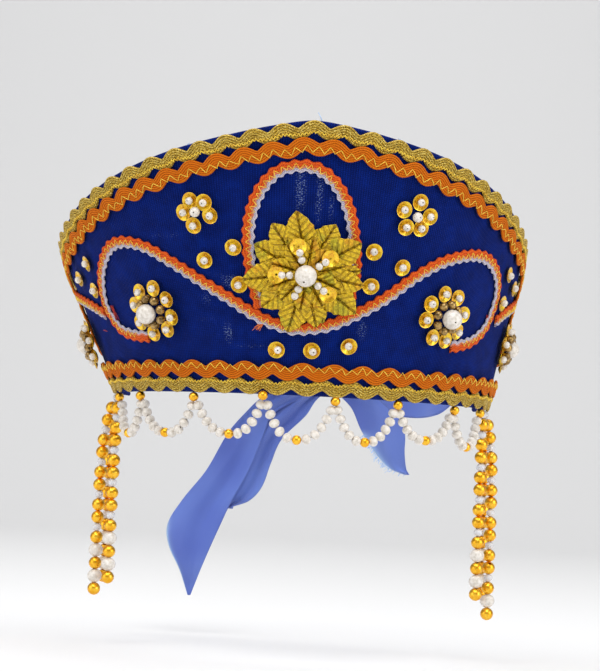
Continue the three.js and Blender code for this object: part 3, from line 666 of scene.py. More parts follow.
braid_finish, shade = finish("red_white_braid", {"Roughness": 0.75, "Specular IOR Level": 0.25})
weave = shade.weave()
space = shade.space()
over = weave.part("Y") + space.noise(900.0) * 0.5 - 0.25
plies = (weave.part("Y") * 4.6).wave() * 0.5 + 0.5
strand = plies * 0.5 + (weave.part("X") * 7 - weave.part("Y") * 6).wave() * 0.25
# Painted shade: both cords are darker in the hollows between their plies and lighter on the plies' tops, by
# the strand pattern of the bump.
red = (strand + 0.25).rise(0.0, 0.8).mix(colour(176, 54, 6), colour(228, 94, 16))
pink = (over.rise(-0.1, -0.4) * 0.55).mix(red, colour(236, 160, 128))
white = (strand + 0.25).rise(0.0, 0.8).mix(colour(150, 142, 158), colour(208, 200, 212))
shade.feed({
    "Base Color": over.rise(-0.85, -1.1).mix(pink, white),
    "Normal": shade.bump(strand, 0.0003),
})
for node, rows in BRAID_LINES.items():
    line = smooth_line(rows)
    line = Line(*line.spot(line.way, BRAID_ASIDE))
    piece(f"{node}_woven", narrow_braid(line), braid_finish, [node])
    seam = Line(*line.spot(line.way, BRAID_SEAM))
    waves = seam.length / BRAID_WAVE
    stitches = zigzag(seam, waves, 0, BRAID_SWING, GAP + BRAID_THICK, **BRAID_STITCHES)
    piece(f"{node}_stitches", stitches, yellow_thread)


# Cut ends of the braid are passed under the scroll. The loop's sticks out below it as a tuft of orange
# yarns, and each side branch's as a few dark red ones inside it. One red yarn is left on the left side.
Tuft = namedtuple("Tuft", "turn height run yarns fan")
CUT_ENDS = {
    "loop_braid_cut_end": Tuft(-10.3, 29.6, (-1.9, -3.1), 18, 0.3),
    "side_braid_left_cut_end": Tuft(-56.9, 35.8, (1.3, -5.2), 10, 0.4),
    "side_braid_right_cut_end": Tuft(57.6, 39.6, (0.3, -3.4), 4, 0.15),
    "loose_red_yarn": Tuft(-65.8, 26, (2.4, -0.7), 2, 0.08),
}
YARN_RADIUS = 0.19
orange_yarn = mottled("orange_red_yarn", {"Roughness": 0.8, "Sheen Weight": 0.2}, [900.0],
                      (190, 84, 26), (226, 124, 58))
red_yarn = mottled("dark_red_yarn", {"Roughness": 0.8, "Sheen Weight": 0.1}, [900.0],
                   (120, 14, 14), (186, 44, 22))
for name, row in CUT_ENDS.items():
    draw = np.random.default_rng(5)
    yarns = []
    for _ in range(row.yarns):
        t = np.linspace(0, 1, 8)
        fan = draw.normal(0, row.fan, 4)
        turn = row.turn + fan[0] + row.run[0] * (1 + fan[1]) * t
        height = row.height + fan[2] + row.run[1] * (1 + 0.5 * fan[3]) * t
        points = on_band(turn, height, 0.55 + draw.uniform(0, 0.5) + 0.3 * t)
        yarns.append(thread(points, YARN_RADIUS * (1.1 - 0.6 * t), np.array([0.3, -1, 0]), 5))
    piece(name, joined(yarns), orange_yarn if name == "loop_braid_cut_end" else red_yarn)


# Cup sequins of gold film: a six-sided flat with a hole, and a sloped wall up to a round rim. Every one is
# held down by a small drilled pearl on its thread.
SEQUIN_RADIUS, SEQUIN_RIM, SEQUIN_FLAT, SEQUIN_HOLE, SEQUIN_FILM = 3.5, 1.25, 1.6, 0.5, 0.16
CUP_SIDES, PEARL_RADIUS = 24, 1.6
STUDS = {
    "stud_upper_left": (-16.9, 58.9), "stud_outer_left": (-23.9, 53.6), "stud_lower_left": (-16, 44.1),
    "stud_upper_right": (15.3, 59.7), "stud_outer_right": (23, 54.6), "stud_lower_right": (15.6, 46.1),
    "stud_rim_left": (-7.1, 18.5), "stud_rim_middle": (2.1, 18.8), "stud_rim_right": (11.7, 21.3),
    "stud_side_left_top": (-61.8, 54), "stud_side_left_middle": (-69.6, 48.6),
    "stud_side_left_low": (-62.4, 42.9), "stud_side_right_top": (64.5, 58.2),
    "stud_side_right_middle": (71.7, 53.4), "stud_side_right_low": (64.5, 45.8),
}


def turned(radius, height, sides, ends="looped"):
    """A profile of radius and height turned about +Z. The radius may have a column for each side."""
    around = circle(sides)
    reach = np.reshape(radius, (len(height), -1))
    points = np.stack([reach * np.cos(around), reach * np.sin(around), height[:, None] + 0 * around], -1)
    return surface(points, ends=ends)


def cup_sequin():
    """A six-sided flat inside a round rim. The flat's reach is its inner radius over a side's cosine."""
    corner = np.cos((circle(CUP_SIDES) % (np.pi / 3)) - np.pi / 6)
    rows = (
        (SEQUIN_HOLE, 0.1), (SEQUIN_HOLE, 0.1 + SEQUIN_FILM), (SEQUIN_FLAT, 0.1 + SEQUIN_FILM),
        (SEQUIN_RADIUS - 0.25, SEQUIN_RIM - 0.05), (SEQUIN_RADIUS, SEQUIN_RIM),
        (SEQUIN_RADIUS, SEQUIN_RIM - SEQUIN_FILM), (SEQUIN_FLAT, 0.1),
    )
    radius = np.array([[r] * CUP_SIDES for r, _ in rows])
    radius[[2, 6]] = SEQUIN_FLAT / corner
    return turned(radius, np.array([z for _, z in rows]), CUP_SIDES)


def bead(radius, length, hole, sides=14, rows=8):
    """A drilled bead: an arc of an ellipse from hole to hole, and the hole's own wall."""
    edge = np.arcsin(hole / radius)
    arc = np.linspace(edge, np.pi - edge, rows)
    tall = length / 2 / np.cos(edge)
    r = np.concatenate([radius * np.sin(arc), [hole * 0.9, hole * 0.9]])
    z = np.concatenate([-tall * np.cos(arc), [length / 2 - 0.3, 0.3 - length / 2]])
    return turned(r[:, None], z, sides)


def copies(shape, places, axes):
    """The shape at each place, turned to each set of axes, whose rows are its x, y and z."""
    count = len(places)
    points = np.einsum("pi,kij->kpj", shape.points, axes) + np.asarray(places)[:, None]
    firsts = np.arange(count)[:, None] * len(shape.points)
    return Shape(points.reshape(-1, 3), (shape.corners + firsts).ravel(), np.tile(shape.sizes, count),
                 np.tile(shape.uv, (count, 1)))


def sewn(turn, height, proud=GAP, tip=0.0):
    """Place and axes of an ornament on the cloth, x along it, y up it and z out of it, tipped by degrees."""
    out, angle = np.arctan(flare_at(turn)) + np.radians(tip), np.radians(turn)
    s, c = np.sin(angle), np.cos(angle)
    axes = np.array([[c, s, 0], [np.sin(out) * s, -np.sin(out) * c, np.cos(out)],
                     [np.cos(out) * s, -np.cos(out) * c, -np.sin(out)]])
    return on_band(turn, height) + proud * axes[2], axes


def tilted(angle, tilt, spin=0.0):
    """Axes turned by an angle in the plane and leaning outwards by a tilt, in degrees."""
    a, t, s = np.radians([angle, tilt, spin])
    outward = np.array([np.cos(a), np.sin(a), 0])
    level = np.array([-np.sin(a), np.cos(a), 0])
    up = np.array([0, 0, 1.0])
    z = np.cos(t) * up + np.sin(t) * outward
    x = np.cos(t) * outward - np.sin(t) * up
    return np.array([np.cos(s) * x + np.sin(s) * level, np.cos(s) * level - np.sin(s) * x, z])


def set_on(ornament, shape, spots, turns):
    """Copies of a shape on an ornament's place and axes, from their own places and axes in it."""
    place, axes = ornament
    return copies(shape, place + np.asarray(spots) @ axes, np.asarray(turns) @ axes)


gold_film = mottled("gold_sequin_film", {"Metallic": 0.8, "Coat Weight": 0.6, "Coat Roughness": 0.08},
                    [420.0], (224, 166, 12), (244, 206, 40), (0.35, 0.65), (0.2, 0.16))
pearl_coat = mottled("imitation_pearl", {"Coat Weight": 0.5, "Coat Roughness": 0.12, "IOR": 1.5},
                     (700.0, 3.0), (208, 200, 188), (236, 230, 222), (0.3, 0.7), (0.22, 0.16), 0.00002)
cup = cup_sequin()
seed_pearl = bead(PEARL_RADIUS, 2.9, 0.32, 12, 7)
for k, (node, (turn, height)) in enumerate(STUDS.items()):
    draw = np.random.default_rng(100 + k)
    stud = sewn(turn, height)
    lean = tilted(draw.uniform(0, 360), draw.uniform(0, 7), draw.uniform(0, 60))
    film = set_on(stud, cup, [[0, 0, 0.1]], [lean])
    piece(f"{node}_cup", film, gold_film, [node], smooth=False)
    middle = [*draw.normal(0, 0.25, 2), 0.45 + PEARL_RADIUS * 0.9]
    pearl = set_on(stud, seed_pearl, [middle], [tilted(draw.uniform(0, 360), draw.uniform(0, 35))])
    piece(f"{node}_pearl", pearl, pearl_coat)


# Two blossoms, each of five cup sequins round one larger pearl, every sequin with its own small pearl.
BLOSSOMS = {
    "blossom_left": {"turn": -24.4, "height": 72.9, "angles": (119, 43, -17, -107, -176),
                     "reaches": (5.0, 5.3, 6.2, 6.0, 5.8)},
    "blossom_right": {"turn": 24.3, "height": 75.4, "angles": (80, 6, -56, -130.5, 158),
                      "reaches": (6.1, 6.1, 5.5, 6.1, 6.3)},
}
BLOSSOM_PEARL = 2.15


def spokes(angles):
    """Unit directions at angles in an ornament's own plane."""
    return np.stack([np.cos(np.radians(angles)), np.sin(np.radians(angles)), 0 * angles], -1)


for k, (node, row) in enumerate(BLOSSOMS.items()):
    draw = np.random.default_rng(110 + k)
    blossom = sewn(row["turn"], row["height"])
    angles, reaches = np.array(row["angles"], float), np.array(row["reaches"])[:, None]
    ring = spokes(angles)
    lifts = np.array([0.35, 0.9, 0.4, 1.0, 0.6])[:, None] * [0, 0, 1]
    lean = [tilted(a, 2 + draw.normal(0, 4), draw.uniform(0, 60)) for a in angles]
    film = set_on(blossom, cup, reaches * ring + lifts, lean)
    piece(f"{node}_cups", film, gold_film, [node], smooth=False)
    lean = [tilted(a, draw.uniform(0, 30)) for a in angles]
    seeds = set_on(blossom, seed_pearl, (reaches + 0.1) * ring + lifts + [0, 0, 1.9], lean)
    heart = set_on(blossom, bead(BLOSSOM_PEARL, 4, 0.35), [[0, 0, 3.2]], [tilted(40, 14)])
    piece(f"{node}_pearls", joined([seeds, heart]), pearl_coat)


# Rosettes: a ring of sequins, each with a small pearl, then a ring of dark metal-coated glass beads inside
# it, and a large pearl on those. Both side ones are smaller, and the left one's foot lies on the rim tape.
FRONT_ROSETTE = {"petals": 8, "ring": 10, "beads": 5.7, "dark": 3.5, "pearl": 4.2, "heart": 6.6}
SIDE_ROSETTE = {"petals": 7, "ring": 8.15, "beads": 5.4, "dark": 3.4, "pearl": 3.8, "heart": 4.3}
ROSETTES = {
    "rosette_left": {**FRONT_ROSETTE, "turn": -40.1, "height": 33.5, "first": -13},
    "rosette_right": {**FRONT_ROSETTE, "turn": 38.3, "height": 36.4, "first": 15},
    "side_rosette_left": {
        **SIDE_ROSETTE, "turn": -79.8, "height": 22, "first": 8, "proud": 1.7, "tip": -6.5,
    },
    "side_rosette_right": {**SIDE_ROSETTE, "turn": 79.3, "height": 28, "first": 20},
}
ROSETTE_LEAN, DARK_BEADS, DARK_BEAD_RADIUS, ROSETTE_FOOT = 5, 8, 2.0, 0.7
bronze = mottled("bronze_glass", {"Metallic": 0.7, "Coat Weight": 0.4}, [600.0],
                 (112, 84, 36), (186, 150, 84), (0.35, 0.65), (0.2, 0.2))
for k, (node, row) in enumerate(ROSETTES.items()):
    draw = np.random.default_rng(40 + k)
    rosette = sewn(row["turn"], row["height"], row.get("proud", GAP), row.get("tip", 0))
    petals = row["petals"]
    angles = row["first"] + 360 / petals * np.arange(petals) + draw.normal(0, 3, petals)
    leans = ROSETTE_LEAN + draw.normal(0, 5, petals)
    lean = np.stack([tilted(a, b, draw.uniform(0, 60)) for a, b in zip(angles, leans)])
    spots = row["ring"] * spokes(angles) + [0, 0, ROSETTE_FOOT]
    piece(f"{node}_cups", set_on(rosette, cup, spots, lean), gold_film, [node], smooth=False)
    seeds = set_on(rosette, seed_pearl, spots + 2.2 * lean[:, 2], [tilted(a, 25) for a in angles])
    large = bead(row["pearl"], 2 * row["pearl"] - 0.3, 0.4, 24, 14)
    heart = set_on(rosette, large, [[0, 0, row["heart"]]], [tilted(200, 20)])
    piece(f"{node}_pearls", joined([seeds, heart]), pearl_coat)
    between = row["first"] + 22 + 360 / DARK_BEADS * np.arange(DARK_BEADS)
    spots = row["beads"] * spokes(between) + [0, 0, row["dark"]]
    dark = set_on(rosette, bead(DARK_BEAD_RADIUS, 3.6, 0.5), spots, [tilted(a, 90) for a in between])
    piece(f"{node}_dark_beads", dark, bronze)


# The leaf flower is stamped from stiff gold lame: pointed leaves with pressed veins, in two layers, lifted
# over the braid. A large pearl sits in its middle with five sprays of small pearls, four with a sequin too.
FLOWER_TURN, FLOWER_HEIGHT, FLOWER_PEARL, FLOWER_THICK = -0.3, 49.5, 4.5, 1.2
Leaf = namedtuple("Leaf", "angle length width layer")
LEAVES = (
    Leaf(98.5, 26.5, 12.0, 1.0), Leaf(62.4, 23.8, 12.0, 0.6), Leaf(34.5, 26.0, 12.5, 1.0),
    Leaf(1.6, 22.6, 7.5, 0.4), Leaf(-8.8, 24.2, 9.5, 1.1), Leaf(-36.1, 26.2, 12.5, 0.7),
    Leaf(-70.6, 22.2, 8.0, 0.3), Leaf(-78.7, 22.9, 9.5, 1.0), Leaf(-104.6, 25.7, 12.0, 0.8),
    Leaf(-140.3, 22.8, 12.0, 1.0), Leaf(-147.5, 21.4, 8.0, 0.4), Leaf(-172.7, 26.2, 12.0, 1.1),
    Leaf(155.6, 24.3, 11.5, 0.6), Leaf(127.9, 25.1, 11.0, 0.4), Leaf(82, 15.5, 7.5, 2.0),
    Leaf(48, 15, 7.0, 2.2), Leaf(14, 16.5, 7.0, 2.0), Leaf(-20, 15.5, 7.0, 2.3),
    Leaf(-60, 15, 7.5, 2.0), Leaf(-92, 15.5, 7.0, 2.2), Leaf(-128, 15, 7.5, 2.0),
    Leaf(-160, 16, 7.0, 2.3), Leaf(163, 15.5, 7.0, 2.0), Leaf(125, 15, 7.5, 2.2),
)
LEAF_ROWS, LEAF_COLUMNS, LEAF_TEETH, LEAF_METRES = 44, 19, 8, 0.00025


def blade(angle, length, width, layer, draw):
    """One leaf: its half width is s^1.1 (1-s)^0.85, toothed, over the share s of its length.

    It is folded along the midrib, puffed on both sides of it and grooved at the midrib and the side veins.
    """
    s = np.linspace(0.02, 1, LEAF_ROWS)[:, None]
    t = np.linspace(-1, 1, LEAF_COLUMNS)[None, :]
    teeth = 1 + 0.3 * np.abs(((s * LEAF_TEETH) % 1) - 0.5) * np.clip(np.abs(t) * 2 - 1, 0, 1)
    half = width / 2 * s**1.1 * (1 - s) ** 0.85 / 0.2635 * teeth + 0.25 * (1 - s)
    sway = draw.normal(0, 0.5) * s**2
    veins = np.cos(2 * np.pi * (5 * s - 1.3 * np.abs(t))) * np.sin(np.pi * np.abs(t)) ** 0.7
    mid = np.exp(-((t * half / 0.5) ** 2))
    puff = 0.75 * np.sin(np.pi * np.abs(t)) * np.sin(np.pi * s**0.8)
    z = layer + 0.9 * s + puff - 0.45 * mid * np.sin(np.pi * s) ** 0.4 + 0.26 * veins * np.sin(np.pi * s)
    z = z + draw.normal(0, 0.25) * t * s + draw.uniform(-0.5, 0.9) * s**3
    a = np.radians(angle)
    x, y = s * length + 0 * t, t * half + sway
    flat = np.stack([x * np.cos(a) - y * np.sin(a), x * np.sin(a) + y * np.cos(a), z], -1)
    uv = np.stack(np.broadcast_arrays(s * length, t * half + 0 * s), -1)
    return flat, uv


lame, shade = finish("gold_lame", {"Metallic": 0.6, "Coat Weight": 0.15})
weave = shade.weave()
space = shade.space()
crease = space.noise(900.0, 3.0)
drift = space.noise(150.0, 2.0)
slant = weave.part("X") * 2.3 - weave.part("Y").size() * 1.9
vein = (slant + space.noise(250.0) * 1.5).wave().rise(0.35, 0.95)
midrib = weave.part("Y").size().rise(0.6, 0.1)
# Painted shade: the gold is darker where the crinkle noise is low, in the hollows of its own bump, and
# lighter on the crinkles' tops.
gold = crease.rise(0.3, 0.7).mix(colour(184, 146, 14), colour(236, 200, 36))
# Painted glints: patches of green and of orange reflection drift over the gold with a slow noise.
painted_green_glints = (drift.rise(0.56, 0.66) * 0.45).mix(gold, colour(126, 146, 34))
painted_orange_glints = (drift.rise(0.42, 0.34) * 0.35).mix(painted_green_glints, colour(214, 122, 22))
# Painted shade darkens the grooves of the pressed veins and the midrib, more where the crinkle noise is
# high.
shade.feed({
    "Base Color": ((midrib + vein * 0.8) * crease.rise(0.25, 0.6) * 0.6).mix(painted_orange_glints, colour(122, 90, 14)),
    "Roughness": 0.24 + crease * 0.3,
    "Normal": shade.bump(crease * 1.6 - vein - midrib, 0.0005),
})
draw = np.random.default_rng(3)
leaves = joined([surface(*blade(*row, draw), ring=False, ends="open") for row in LEAVES])
base, axes = sewn(FLOWER_TURN, FLOWER_HEIGHT)
leaves = leaves._replace(points=base + leaves.points @ axes)
leaves = piece("leaf_flower_leaves", leaves, lame, ["leaf_flower"])
stiffness = leaves.modifiers.new("leaf_thickness", "SOLIDIFY")
stiffness.thickness, stiffness.offset = LEAF_METRES, 0

heart = sewn(FLOWER_TURN, FLOWER_HEIGHT, 2 * GAP + FLOWER_THICK + FLOWER_PEARL)
shape = set_on(heart, bead(FLOWER_PEARL, 8.8, 0.5, 28, 16), [[0, 0, 0]], [tilted(250, 25)])
piece("flower_pearl_ball", shape, pearl_coat, ["flower_pearl"])

SPRAYS = {
    "spray_top": 107, "spray_right": 37, "spray_low_right": -39, "spray_low_left": -115, "spray_left": -178,
}
SPRAY_BARE = "spray_low_left"
SPRAY_LIFT, SPRAY_PEARLS, SPRAY_SEQUIN = 3.2, (6.6, 9.7), 12.0
for node, angle in SPRAYS.items():
    draw = np.random.default_rng(200 + angle)
    flower = sewn(FLOWER_TURN, FLOWER_HEIGHT, SPRAY_LIFT)
    way = spokes(angle)
    spots = [way * reach + [0, 0, PEARL_RADIUS + 0.2 + draw.uniform(0, 0.4)] for reach in SPRAY_PEARLS]
    seeds = set_on(flower, seed_pearl, spots, [tilted(angle, 75), tilted(angle + 30, 40)])
    piece(f"{node}_pearls", seeds, pearl_coat, [node])
    if node != SPRAY_BARE:
        lean = tilted(angle, 8, draw.uniform(0, 60))
        film = set_on(flower, cup, [way * SPRAY_SEQUIN + [0, 0, 0.7]], [lean])
        piece(f"{node}_cup", film, gold_film, smooth=False)


# The swags are one clear thread of small pearls that hangs from the rim in seven curves, with a gold bead at
# each fixing and one at the bottom of each curve. One fixing sits on the outside of the band's edge. Both
# tables give turn and height.
STRING_RADIUS, SWAG_POWER, SWAG_THREAD_RADIUS = 81.7, 2.6, 0.16
SWAG_FIXED = (
    (-75.3, -2.05), (-56.6, -1.9), (-33, -2.05), (-10.8, -0.7), (9.8, -1.7), (29.2, -1.7), (52.4, -2.1),
    (71.5, -2.05),
)
SWAG_LOWEST = (
    (-64.8, -17.9), (-42.8, -17.4), (-20.5, -17), (-0.7, -18.4), (19.1, -18), (40.4, -15.8), (61.7, -17.3),
)
SWAG_PEARLS, SWAG_PEARL_RADIUS, SWAG_GOLD_RADIUS, FIXING_RADIUS = 10, 2.25, 2.1, 82.9


def swag_line(first, lowest, last):
    """One curve of the swags through three spots. From the lowest one the turn moves as a sine to both ends.

    The height rises as a power of that sine, so that it is steep at both ends.
    """
    spread = np.sin(np.pi / 2 * np.linspace(-1, 1, 240))[:, None]
    end = np.where(spread < 0, np.array(first), np.array(last)) - np.array(lowest)
    share = np.abs(spread[:, 0])
    return at_turn(STRING_RADIUS, lowest[0] + share * end[:, 0], lowest[1] + share**SWAG_POWER * end[:, 1])


def read_at(ways, way, rows):
    """Rows of a table, read between its ways."""
    return np.stack([np.interp(ways, way, rows[:, k]) for k in range(3)], -1)


def along(points, ways):
    """Points and unit runs at ways along a line of points."""
    way = np.concatenate([[0], np.cumsum(np.linalg.norm(np.diff(points, axis=0), axis=1))])
    run = unit(np.gradient(points, axis=0))
    return read_at(ways, way, points), unit(read_at(ways, way, run))


def threaded(runs, outward, draw, sway):
    """Axes of beads on a thread: z along its run with a little sway, x out of the headdress."""
    z = unit(runs + draw.normal(0, sway, runs.shape))
    y = unit(np.cross(z, outward))
    return np.stack([np.cross(y, z), y, z], 1)


gold_coat = mottled("gold_bead_coat", {"Metallic": 1.0, "Coat Weight": 0.3, "Coat Roughness": 0.05},
                    (350.0, 3.0), (240, 172, 28), (252, 200, 58), (0.35, 0.7), (0.28, 0.14))
clear_line = mottled("clear_thread", {"Roughness": 0.2, "Transmission Weight": 0.6}, [800.0],
                     (214, 216, 222), (240, 240, 244), None)

draw = np.random.default_rng(9)
white_spots, gold_spots, thread_points = [], [], []
for first, lowest, last in zip(SWAG_FIXED, SWAG_LOWEST, SWAG_FIXED[1:]):
    curve = swag_line(first, lowest, last)
    length = np.linalg.norm(np.diff(curve, axis=0), axis=1).sum()
    ways = length * np.arange(1, SWAG_PEARLS + 2) / (SWAG_PEARLS + 2)
    spots, runs = along(curve, ways)
    white = np.arange(SWAG_PEARLS + 1) != SWAG_PEARLS // 2
    white_spots.append((spots[white], runs[white]))
    gold_spots.append((spots[~white], runs[~white]))
    thread_points.append(curve)
fixed_turn, fixed_z = np.array(SWAG_FIXED).T
fixings = at_turn(np.where(fixed_z > -1, RIM_RADIUS + SWAG_GOLD_RADIUS, FIXING_RADIUS), fixed_turn, fixed_z)
gold_spots.append((fixings, np.tile([0.3, 0, -1.0], (len(fixings), 1))))
for name, rows, size, finish_of, slot, nodes in (
    ("swag_pearls", white_spots, (SWAG_PEARL_RADIUS, 3.7), pearl_coat, "pearl", ["swag_string"]),
    ("swag_gold_beads", gold_spots, (SWAG_GOLD_RADIUS, 3.9), gold_coat, "gold_bead", []),
):
    spots = np.concatenate([r[0] for r in rows])
    runs = np.concatenate([r[1] for r in rows])
    axes = threaded(runs, spots * [1, 1, 0] / STRING_RADIUS, draw, 0.12)
    piece(name, copies(bead(*size, 0.45), spots, axes), finish_of, nodes)
line = np.concatenate([curve[:-1] for curve in thread_points])
shape = thread(line, SWAG_THREAD_RADIUS, line * [1, 1, 0] / STRING_RADIUS, 5)
piece("swag_thread", shape, clear_line)


# Each temple has a bunch of three strands: 6 mm gold beads in pairs, small clear white ones between them,
# and large pearls near the foot.
BEAD_KINDS = {
    "w": {"radius": 2.0, "length": 3.4, "hole": 0.5},
    "G": {"radius": 2.9, "length": 5.55, "hole": 0.75},
    "P": {"radius": 3.3, "length": 5.9, "hole": 0.7},
}
STRANDS = (
    {"node": "strand_left_front", "turn": -82.8, "foot": (-82.3, -9), "beads": "wGwGGwGGwGGwGPGPG"},
    {"node": "strand_left_outer", "turn": -87.3, "foot": (-88.6, -4), "beads": "wGGwGGwGGwGGwGPGPG"},
    {"node": "strand_left_back", "turn": -91.8, "foot": (-85.5, 4), "beads": "wGwGGwGGwGGwGPGPG"},
    {"node": "strand_right_front", "turn": 82.8, "foot": (81.2, -9), "beads": "wGwGGwGGwGGwGPGPG"},
    {"node": "strand_right_outer", "turn": 87.3, "foot": (87, -4), "beads": "wGGwGGwGGwGGwGGwGPG"},
    {"node": "strand_right_back", "turn": 91.8, "foot": (84.4, 4), "beads": "wGwGGwGGwGGwGPGPG"},
)
STRAND_SPREAD, STRAND_THREAD_RADIUS = 11, 0.2
clear_white = mottled("clear_white_bead", {"Roughness": 0.25, "Transmission Weight": 0.15, "IOR": 1.5},
                      [500.0], (216, 216, 220), (244, 244, 246), None)
for k, row in enumerate(STRANDS):
    draw = np.random.default_rng(60 + k)
    top = at_turn(STRING_RADIUS, row["turn"], -GAP)
    lengths = np.array([BEAD_KINDS[kind]["length"] for kind in row["beads"]])
    ways = np.linspace(0, lengths.sum(), 300)
    share = (1 - np.exp(-ways / STRAND_SPREAD))[:, None]
    path = top + share * (np.array([*row["foot"], 0]) - top * [1, 1, 0]) - ways[:, None] * [0, 0, 1]
    middles = np.cumsum(lengths) - lengths / 2
    spots = read_at(middles, ways, path)
    runs = unit(read_at(middles, ways, np.gradient(path, ways, axis=0)))
    outward = unit(top * [1, 1, 0])
    for kind, word, finish_of, slot in (
        ("w", "white_beads", clear_white, "pearl"), ("G", "gold_beads", gold_coat, "gold_bead"),
        ("P", "pearls", pearl_coat, "pearl"),
    ):
        chosen = np.array([letter == kind for letter in row["beads"]])
        axes = threaded(runs[chosen], outward, draw, 0.2)
        shape = copies(bead(**BEAD_KINDS[kind], sides=16, rows=9), spots[chosen], axes)
        piece(f"{row['node']}_{word}", shape, finish_of, [row["node"]] if kind == "G" else [])
    piece(f"{row['node']}_thread", thread(path[::6], STRAND_THREAD_RADIUS, outward, 5), clear_line)


# The ribbon is 25 mm satin in pale blue. One runs from inside each end of the band round the back to a knot,
# and from the knot hang a long end, a bow loop and a short end with a frayed cut.
RIBBON_WIDTH, RIBBON_THICK, RIBBON_START, RIBBON_UPRIGHT, SATIN_METRES = 25, 1.2, 96, 134, 0.0003
KNOT = {"x": 14, "y": 80.5, "z": 19.5, "half_x": 7.5, "half_y": 6, "half_z": 9}
TIES = {
    "ribbon_tie_left": {"side": -1, "turn": (96, 150, 190), "foot": (9, 10, 9)},
    "ribbon_tie_right": {"side": 1, "turn": (96, 112, 125, 146, 165), "foot": (9, 7, -1.5, -2, 7)},
}
satin, shade = finish("blue_satin", {"Roughness": 0.42, "Sheen Weight": 0.3, "Specular IOR Level": 0.45})
weave = shade.weave()
space = shade.space()
warp = (weave.part("Y") * 26).wave() * 0.5 + 0.5
slow = space.noise(30.0, 1.0)
fray = shade.painted("frayed")
tone = slow.rise(0.3, 0.7).mix(colour(76, 100, 190), colour(102, 130, 214))
shade.feed({
    "Base Color": fray.mix((warp * 0.12).mix(tone, colour(70, 86, 178)), colour(176, 208, 244)),
    "Normal": shade.bump(warp + space.noise(900.0) * 0.6, 0.00005),
})


def ribbon(name, grid, slot_nodes, frayed=None):
    """A ribbon from a grid of points: rows along it and columns across it. It gets 0.3 mm of thickness."""
    steps = np.linalg.norm(np.diff(grid[:, grid.shape[1] // 2], axis=0), axis=1)
    length = np.concatenate([[0], np.cumsum(steps)])
    uv = np.stack(np.meshgrid(length, np.linspace(0, RIBBON_WIDTH, grid.shape[1]), indexing="ij"), -1)
    made = piece(name, surface(grid, uv, ring=False, ends="open"), satin, slot_nodes)
    paint(made, "frayed", np.zeros(grid.shape[:2]) if frayed is None else frayed)
    cloth = made.modifiers.new("ribbon_thickness", "SOLIDIFY")
    cloth.thickness, cloth.offset = SATIN_METRES, 0


def ease(low, high, value):
    """Smooth step from 0 at low to 1 at high."""
    t = np.clip((value - low) / (high - low), 0, 1)
    return t * t * (3 - 2 * t)


knot_turn = 180 - math.degrees(math.atan2(KNOT["x"], RIM_RADIUS - WALL))
knot_reach = math.degrees((KNOT["half_x"] - 1.5) / (RIM_RADIUS - WALL))
for node, row in TIES.items():
    last = knot_turn - knot_reach if row["side"] > 0 else 360 - knot_turn - knot_reach
    turn = np.linspace(RIBBON_START, last, 150)[:, None]
    across = np.linspace(0, 1, 22)[None, :]
    foot = smooth_table(np.array(row["turn"], float), np.array(row["foot"], float), turn)
    lean = flare_at(row["side"] * turn) * (1 - ease(BAND_END, RIBBON_UPRIGHT, turn))
    near = ease(last - 24, last - 2, turn)
    middle = (foot + RIBBON_WIDTH / 2) * (1 - near) + KNOT["z"] * near
    height = middle + RIBBON_WIDTH * (1 - 0.42 * near) * (across - 0.5)
    slack = ease(BAND_END, BAND_END + 16, turn)
    ripple = 0.5 * np.sin(turn / 5.1 + 2 * across) + 0.4 * np.sin(turn / 2.3 - 3 * across)
    pleats = 1.6 * near * np.sin(2 * np.pi * (2.6 * across + 0.2))
    reach = RIM_RADIUS - WALL - GAP - RIBBON_THICK / 2 + height * lean
    reach = reach + slack * (1 - near) * ripple - slack * 0.6 + pleats
    grid = at_turn(reach, row["side"] * turn, height)
    span = math.radians(last - RIBBON_START) * RIM_RADIUS * 0.001
    ribbon(f"{node}_satin", grid, [node])


def knot_lump():
    """A pulled knot: a round lump whose middle is wrapped by a narrower turn, with slanting pleats."""
    level = np.linspace(-1, 1, 34)[:, None]
    around = circle(72)[None, :]
    full = np.sqrt(1 - 0.86 * level**2) * (1 - 0.14 * np.exp(-((level - 0.05) / 0.2) ** 2))
    pleat = 1 + 0.06 * np.sin(9 * around + 5 * level) * (1 - level**2)
    pleat = pleat + 0.03 * np.sin(4 * around - 7 * level)
    turn_over = 0.1 * np.exp(-(((np.sin(around) * 0.5 + level * 0.9) / 0.32) ** 2))
    reach = full * (pleat - 0.06 + turn_over)
    return np.stack([KNOT["x"] + KNOT["half_x"] * reach * np.cos(around),
                     KNOT["y"] + KNOT["half_y"] * reach * np.sin(around),
                     KNOT["z"] + KNOT["half_z"] * level + 0 * around], -1)


piece("ribbon_knot_satin", surface(knot_lump()), satin, ["ribbon_knot"])
TAILS = {
    "ribbon_tail_long": {
        "z": (10.1, 4.5, -3.5, -13.5, -32.5, -47.5, -59.5, -69.5, -81.5, -93.5),
        "left": (-9, -19, -27, -35, -45, -56, -62.5, -61.5, -55.5, -51),
        "right": (12.5, -1, -13.5, -17.5, -24.5, -32, -37, -41, -45.5, -49.6),
        "y": (81.2, 82.8, 84.5, 87, 88, 88, 88, 88, 88, 88),
    },
    "ribbon_bow_loop": {
        "z": (10.1, 4.5, -3.5, -15.5, -27.5, -39.5, -46.5, -49.5),
        "left": (3, -7, -17, -25, -29, -33.5, -36.5, -37.5),
        "right": (14, 7.5, 2.5, -8.7, -13.5, -17.5, -23.5, -31),
        "y": (82.8, 85.5, 87.5, 90.5, 92, 92, 91.5, 91),
    },
    "ribbon_tail_short": {
        "z": (10.1, 4.5, 0.5, -9.5, -19.5, -27.5, -30),
        "left": (14, 21.3, 25, 30, 37, 45, 52),
        "right": (33, 43, 46, 51.3, 51.8, 53, 54.5),
        "y": (79.4, 81.3, 82.5, 86, 88, 88, 88),
    },
}


def shares(rows, columns):
    """Shares from 0 to 1 along rows and across columns."""
    return np.linspace(0, 1, rows)[:, None], np.linspace(0, 1, columns)[None, :]


